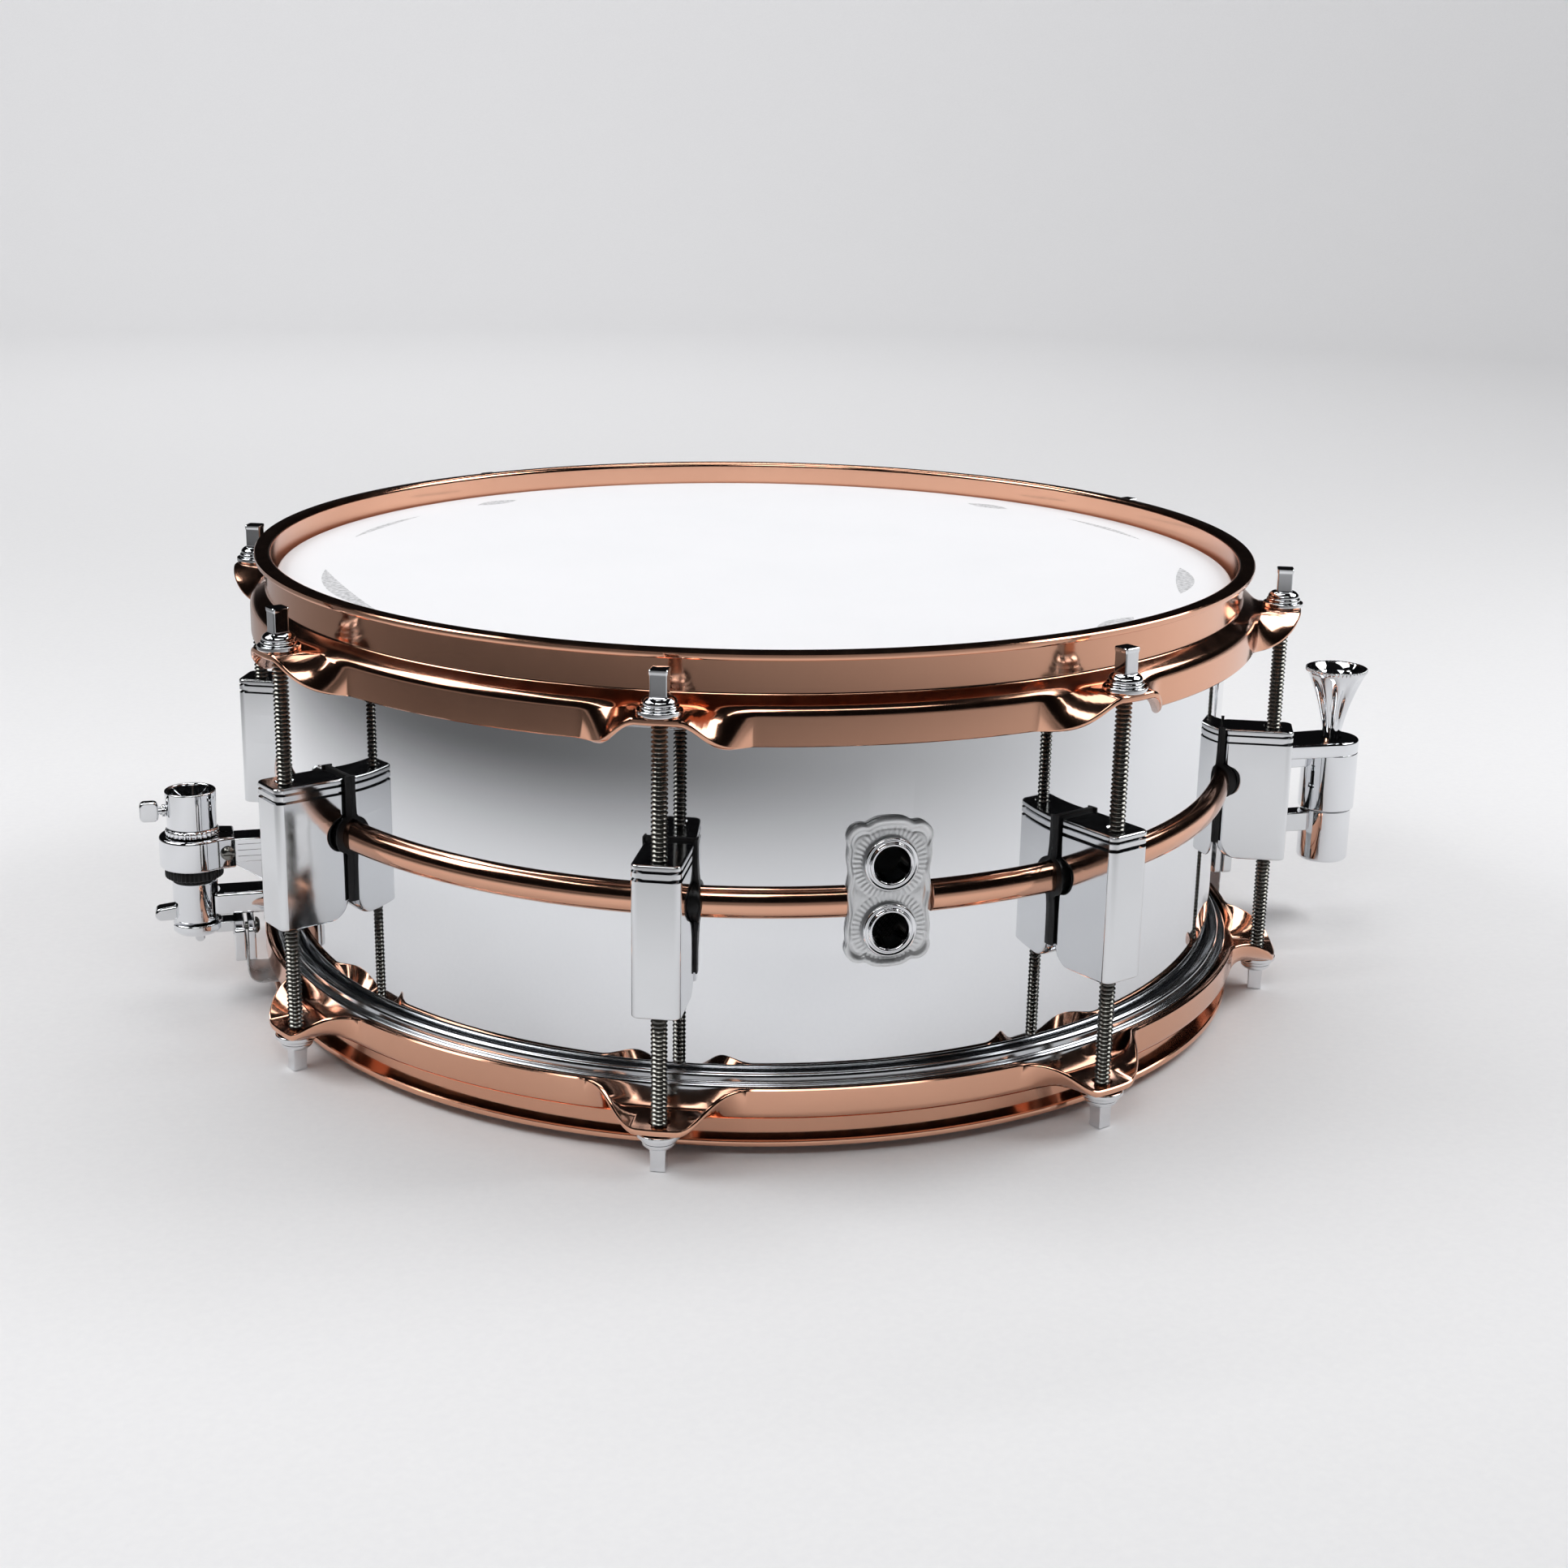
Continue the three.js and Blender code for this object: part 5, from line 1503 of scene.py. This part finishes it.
    def card(self) -> None:
        """Black sheet over the paper that only mirrors see: a painted dark reflection in place of
        the floor's shade at the front left, so that the chrome has depth.

        It hides s(r) * `card_hides` * (0.5 + 0.5 cos(a - `card_aim`)) of the paper, where r is
        the distance from the drum's axis, s rises smoothly from 0 to 1 over `card_fade`, and
        a is the direction: most of it front left, none of it back right.
        """
        data = bpy.data.meshes.new("mirror_card")
        a = np.linspace(0.0, 2 * math.pi, 64, endpoint=False)
        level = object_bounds()[0][2] + self.card_lift
        rim = np.stack([self.card_radius * np.cos(a), self.card_radius * np.sin(a),
                        np.full_like(a, level)], 1)
        data.from_pydata(rim, [], [tuple(range(64))])
        made = bpy.data.objects.new("mirror_card", data)
        bpy.context.scene.collection.objects.link(made)
        # Painted dark reflection: a black sheet that only glossy rays see, standing in for the
        # floor's shade in front.
        dark_reflection_material = bpy.data.materials.new("painted_dark_reflection")
        dark_reflection_material.use_nodes = True
        tree = dark_reflection_material.node_tree
        shader = tree.nodes["Principled BSDF"]
        shader.inputs["Base Color"].default_value = linear("0c0c0d")
        shader.inputs["Roughness"].default_value = 1.0
        place = add_node(tree, "ShaderNodeTexCoord").outputs["Object"]
        flat = add_node(tree, "ShaderNodeVectorMath", {"operation": "MULTIPLY"}, {
            0: place, 1: (1.0, 1.0, 0.0)}).outputs[0]
        reach = add_node(tree, "ShaderNodeVectorMath", {"operation": "LENGTH"}, {0: flat})
        way = add_node(tree, "ShaderNodeVectorMath", {"operation": "NORMALIZE"}, {0: flat})
        aim = math.radians(self.card_aim)
        side = add_node(tree, "ShaderNodeVectorMath", {"operation": "DOT_PRODUCT"}, {
            0: way.outputs[0], 1: (math.cos(aim), math.sin(aim), 0.0)})
        away = add_node(tree, "ShaderNodeMapRange", {"interpolation_type": "SMOOTHSTEP"}, {
            "Value": reach.outputs["Value"], "From Min": self.card_fade[0],
            "From Max": self.card_fade[1]})
        turned = add_node(tree, "ShaderNodeMapRange", {}, {
            "Value": side.outputs["Value"], "From Min": -1.0, "From Max": 1.0,
            "To Max": self.card_hides})
        hides = add_node(tree, "ShaderNodeMath", {"operation": "MULTIPLY"}, {
            0: away.outputs["Result"], 1: turned.outputs["Result"]})
        tree.links.new(hides.outputs[0], shader.inputs["Alpha"])
        data.materials.append(dark_reflection_material)
        made.visible_camera = made.visible_diffuse = made.visible_shadow = False
        made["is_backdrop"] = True

    def surround(self) -> None:
        """A room that is bright at the height of the drum and dark overhead."""
        world = bpy.data.worlds.new("studio")
        bpy.context.scene.world = world
        world.use_nodes = True
        tree = world.node_tree
        shade = tree.nodes["Background"]
        way = add_node(tree, "ShaderNodeTexCoord").outputs["Generated"]
        height = add_node(tree, "ShaderNodeSeparateXYZ", {}, {0: way}).outputs["Z"]
        ramp = add_node(tree, "ShaderNodeValToRGB", {}, {0: height})
        stops = ramp.color_ramp
        stops.interpolation = "EASE"
        levels = ((0.0, "8a8a8c"), (0.05, "2c2c2d"), (0.12, "0e0e0f"), (0.6, "0a0a0b"),
                  (1.0, "141415"))
        stops.elements[0].position, stops.elements[0].color = levels[0][0], linear(levels[0][1])
        stops.elements[1].position, stops.elements[1].color = levels[-1][0], linear(levels[-1][1])
        for spot, code in levels[1:-1]:
            stops.elements.new(spot).color = linear(code)
        tree.links.new(ramp.outputs["Color"], shade.inputs["Color"])
        shade.inputs["Strength"].default_value = 1.0

    def build(self) -> None:
        """Sets the stage."""
        self.camera()
        self.floor()
        self.surround()
        self.card()
        self.lamp("left_box", (-0.95, 0.15, 0.8), (0.0, 0.0, -0.1), (0.7, 0.6), 5.8)
        self.lamp("right_box", (1.0, -0.05, 0.8), (0.05, -0.05, -0.1), (0.7, 0.6), 6.8)
        self.lamp("front_box", (-0.35, -0.75, 0.75), (-0.05, -0.25, -0.15), (0.5, 0.3), 1.9)
        self.lamp("top_box", (0.02, 0.1, 0.8), (0.02, 0.0, -0.1), (0.5, 0.4), 1.7)
        for label, azimuth, power in (("back", 90, 30), ("right", 0, 22), ("front", -90, 14),
                                      ("left", 180, 22)):
            c, s = math.cos(math.radians(azimuth)), math.sin(math.radians(azimuth))
            ring, aim = self.wash_ring, self.wash_aim
            self.lamp(f"{label}_wash", (ring * c, ring * s, self.wash_height),
                      (aim * c, aim * s, -0.1), (1.8, 0.6), power)
        bpy.context.scene.view_settings.view_transform = "Standard"


def main() -> None:
    """Builds the studio, then the drum's sub-assemblies in order."""
    logging.basicConfig(level=logging.INFO, format="%(name)s %(message)s")
    Studio().build()
    Shell().build()
    Head(finish=BATTER_FILM).build()
    Head(name="snare", side=-1, finish=CLEAR, slot="clear_film", hoop_low=57.2,
         hoop_high=68.9).build()
    PressedHoop().build()
    PressedHoop(name="snare", side=-1, lip=79.9, crown=80.3, ledge=71.2, corner=69.5, apron=9.1,
                gate=(22.0, 72.7, 78.9)).build()
    for number in range(1, LUG_COUNT + 1):
        Lug(number=number).build()
        KeyRod(name=f"batter_rod_{number}").build()
        KeyRod(name=f"snare_rod_{number}", side=-1, seat=70.7, head=84.6, show_from=28.0,
               taper=0.45).build()
    Badge().build()
    Strainer().build()
    Butt().build()
    SnareWires().build()


if __name__ == "__main__":
    main()
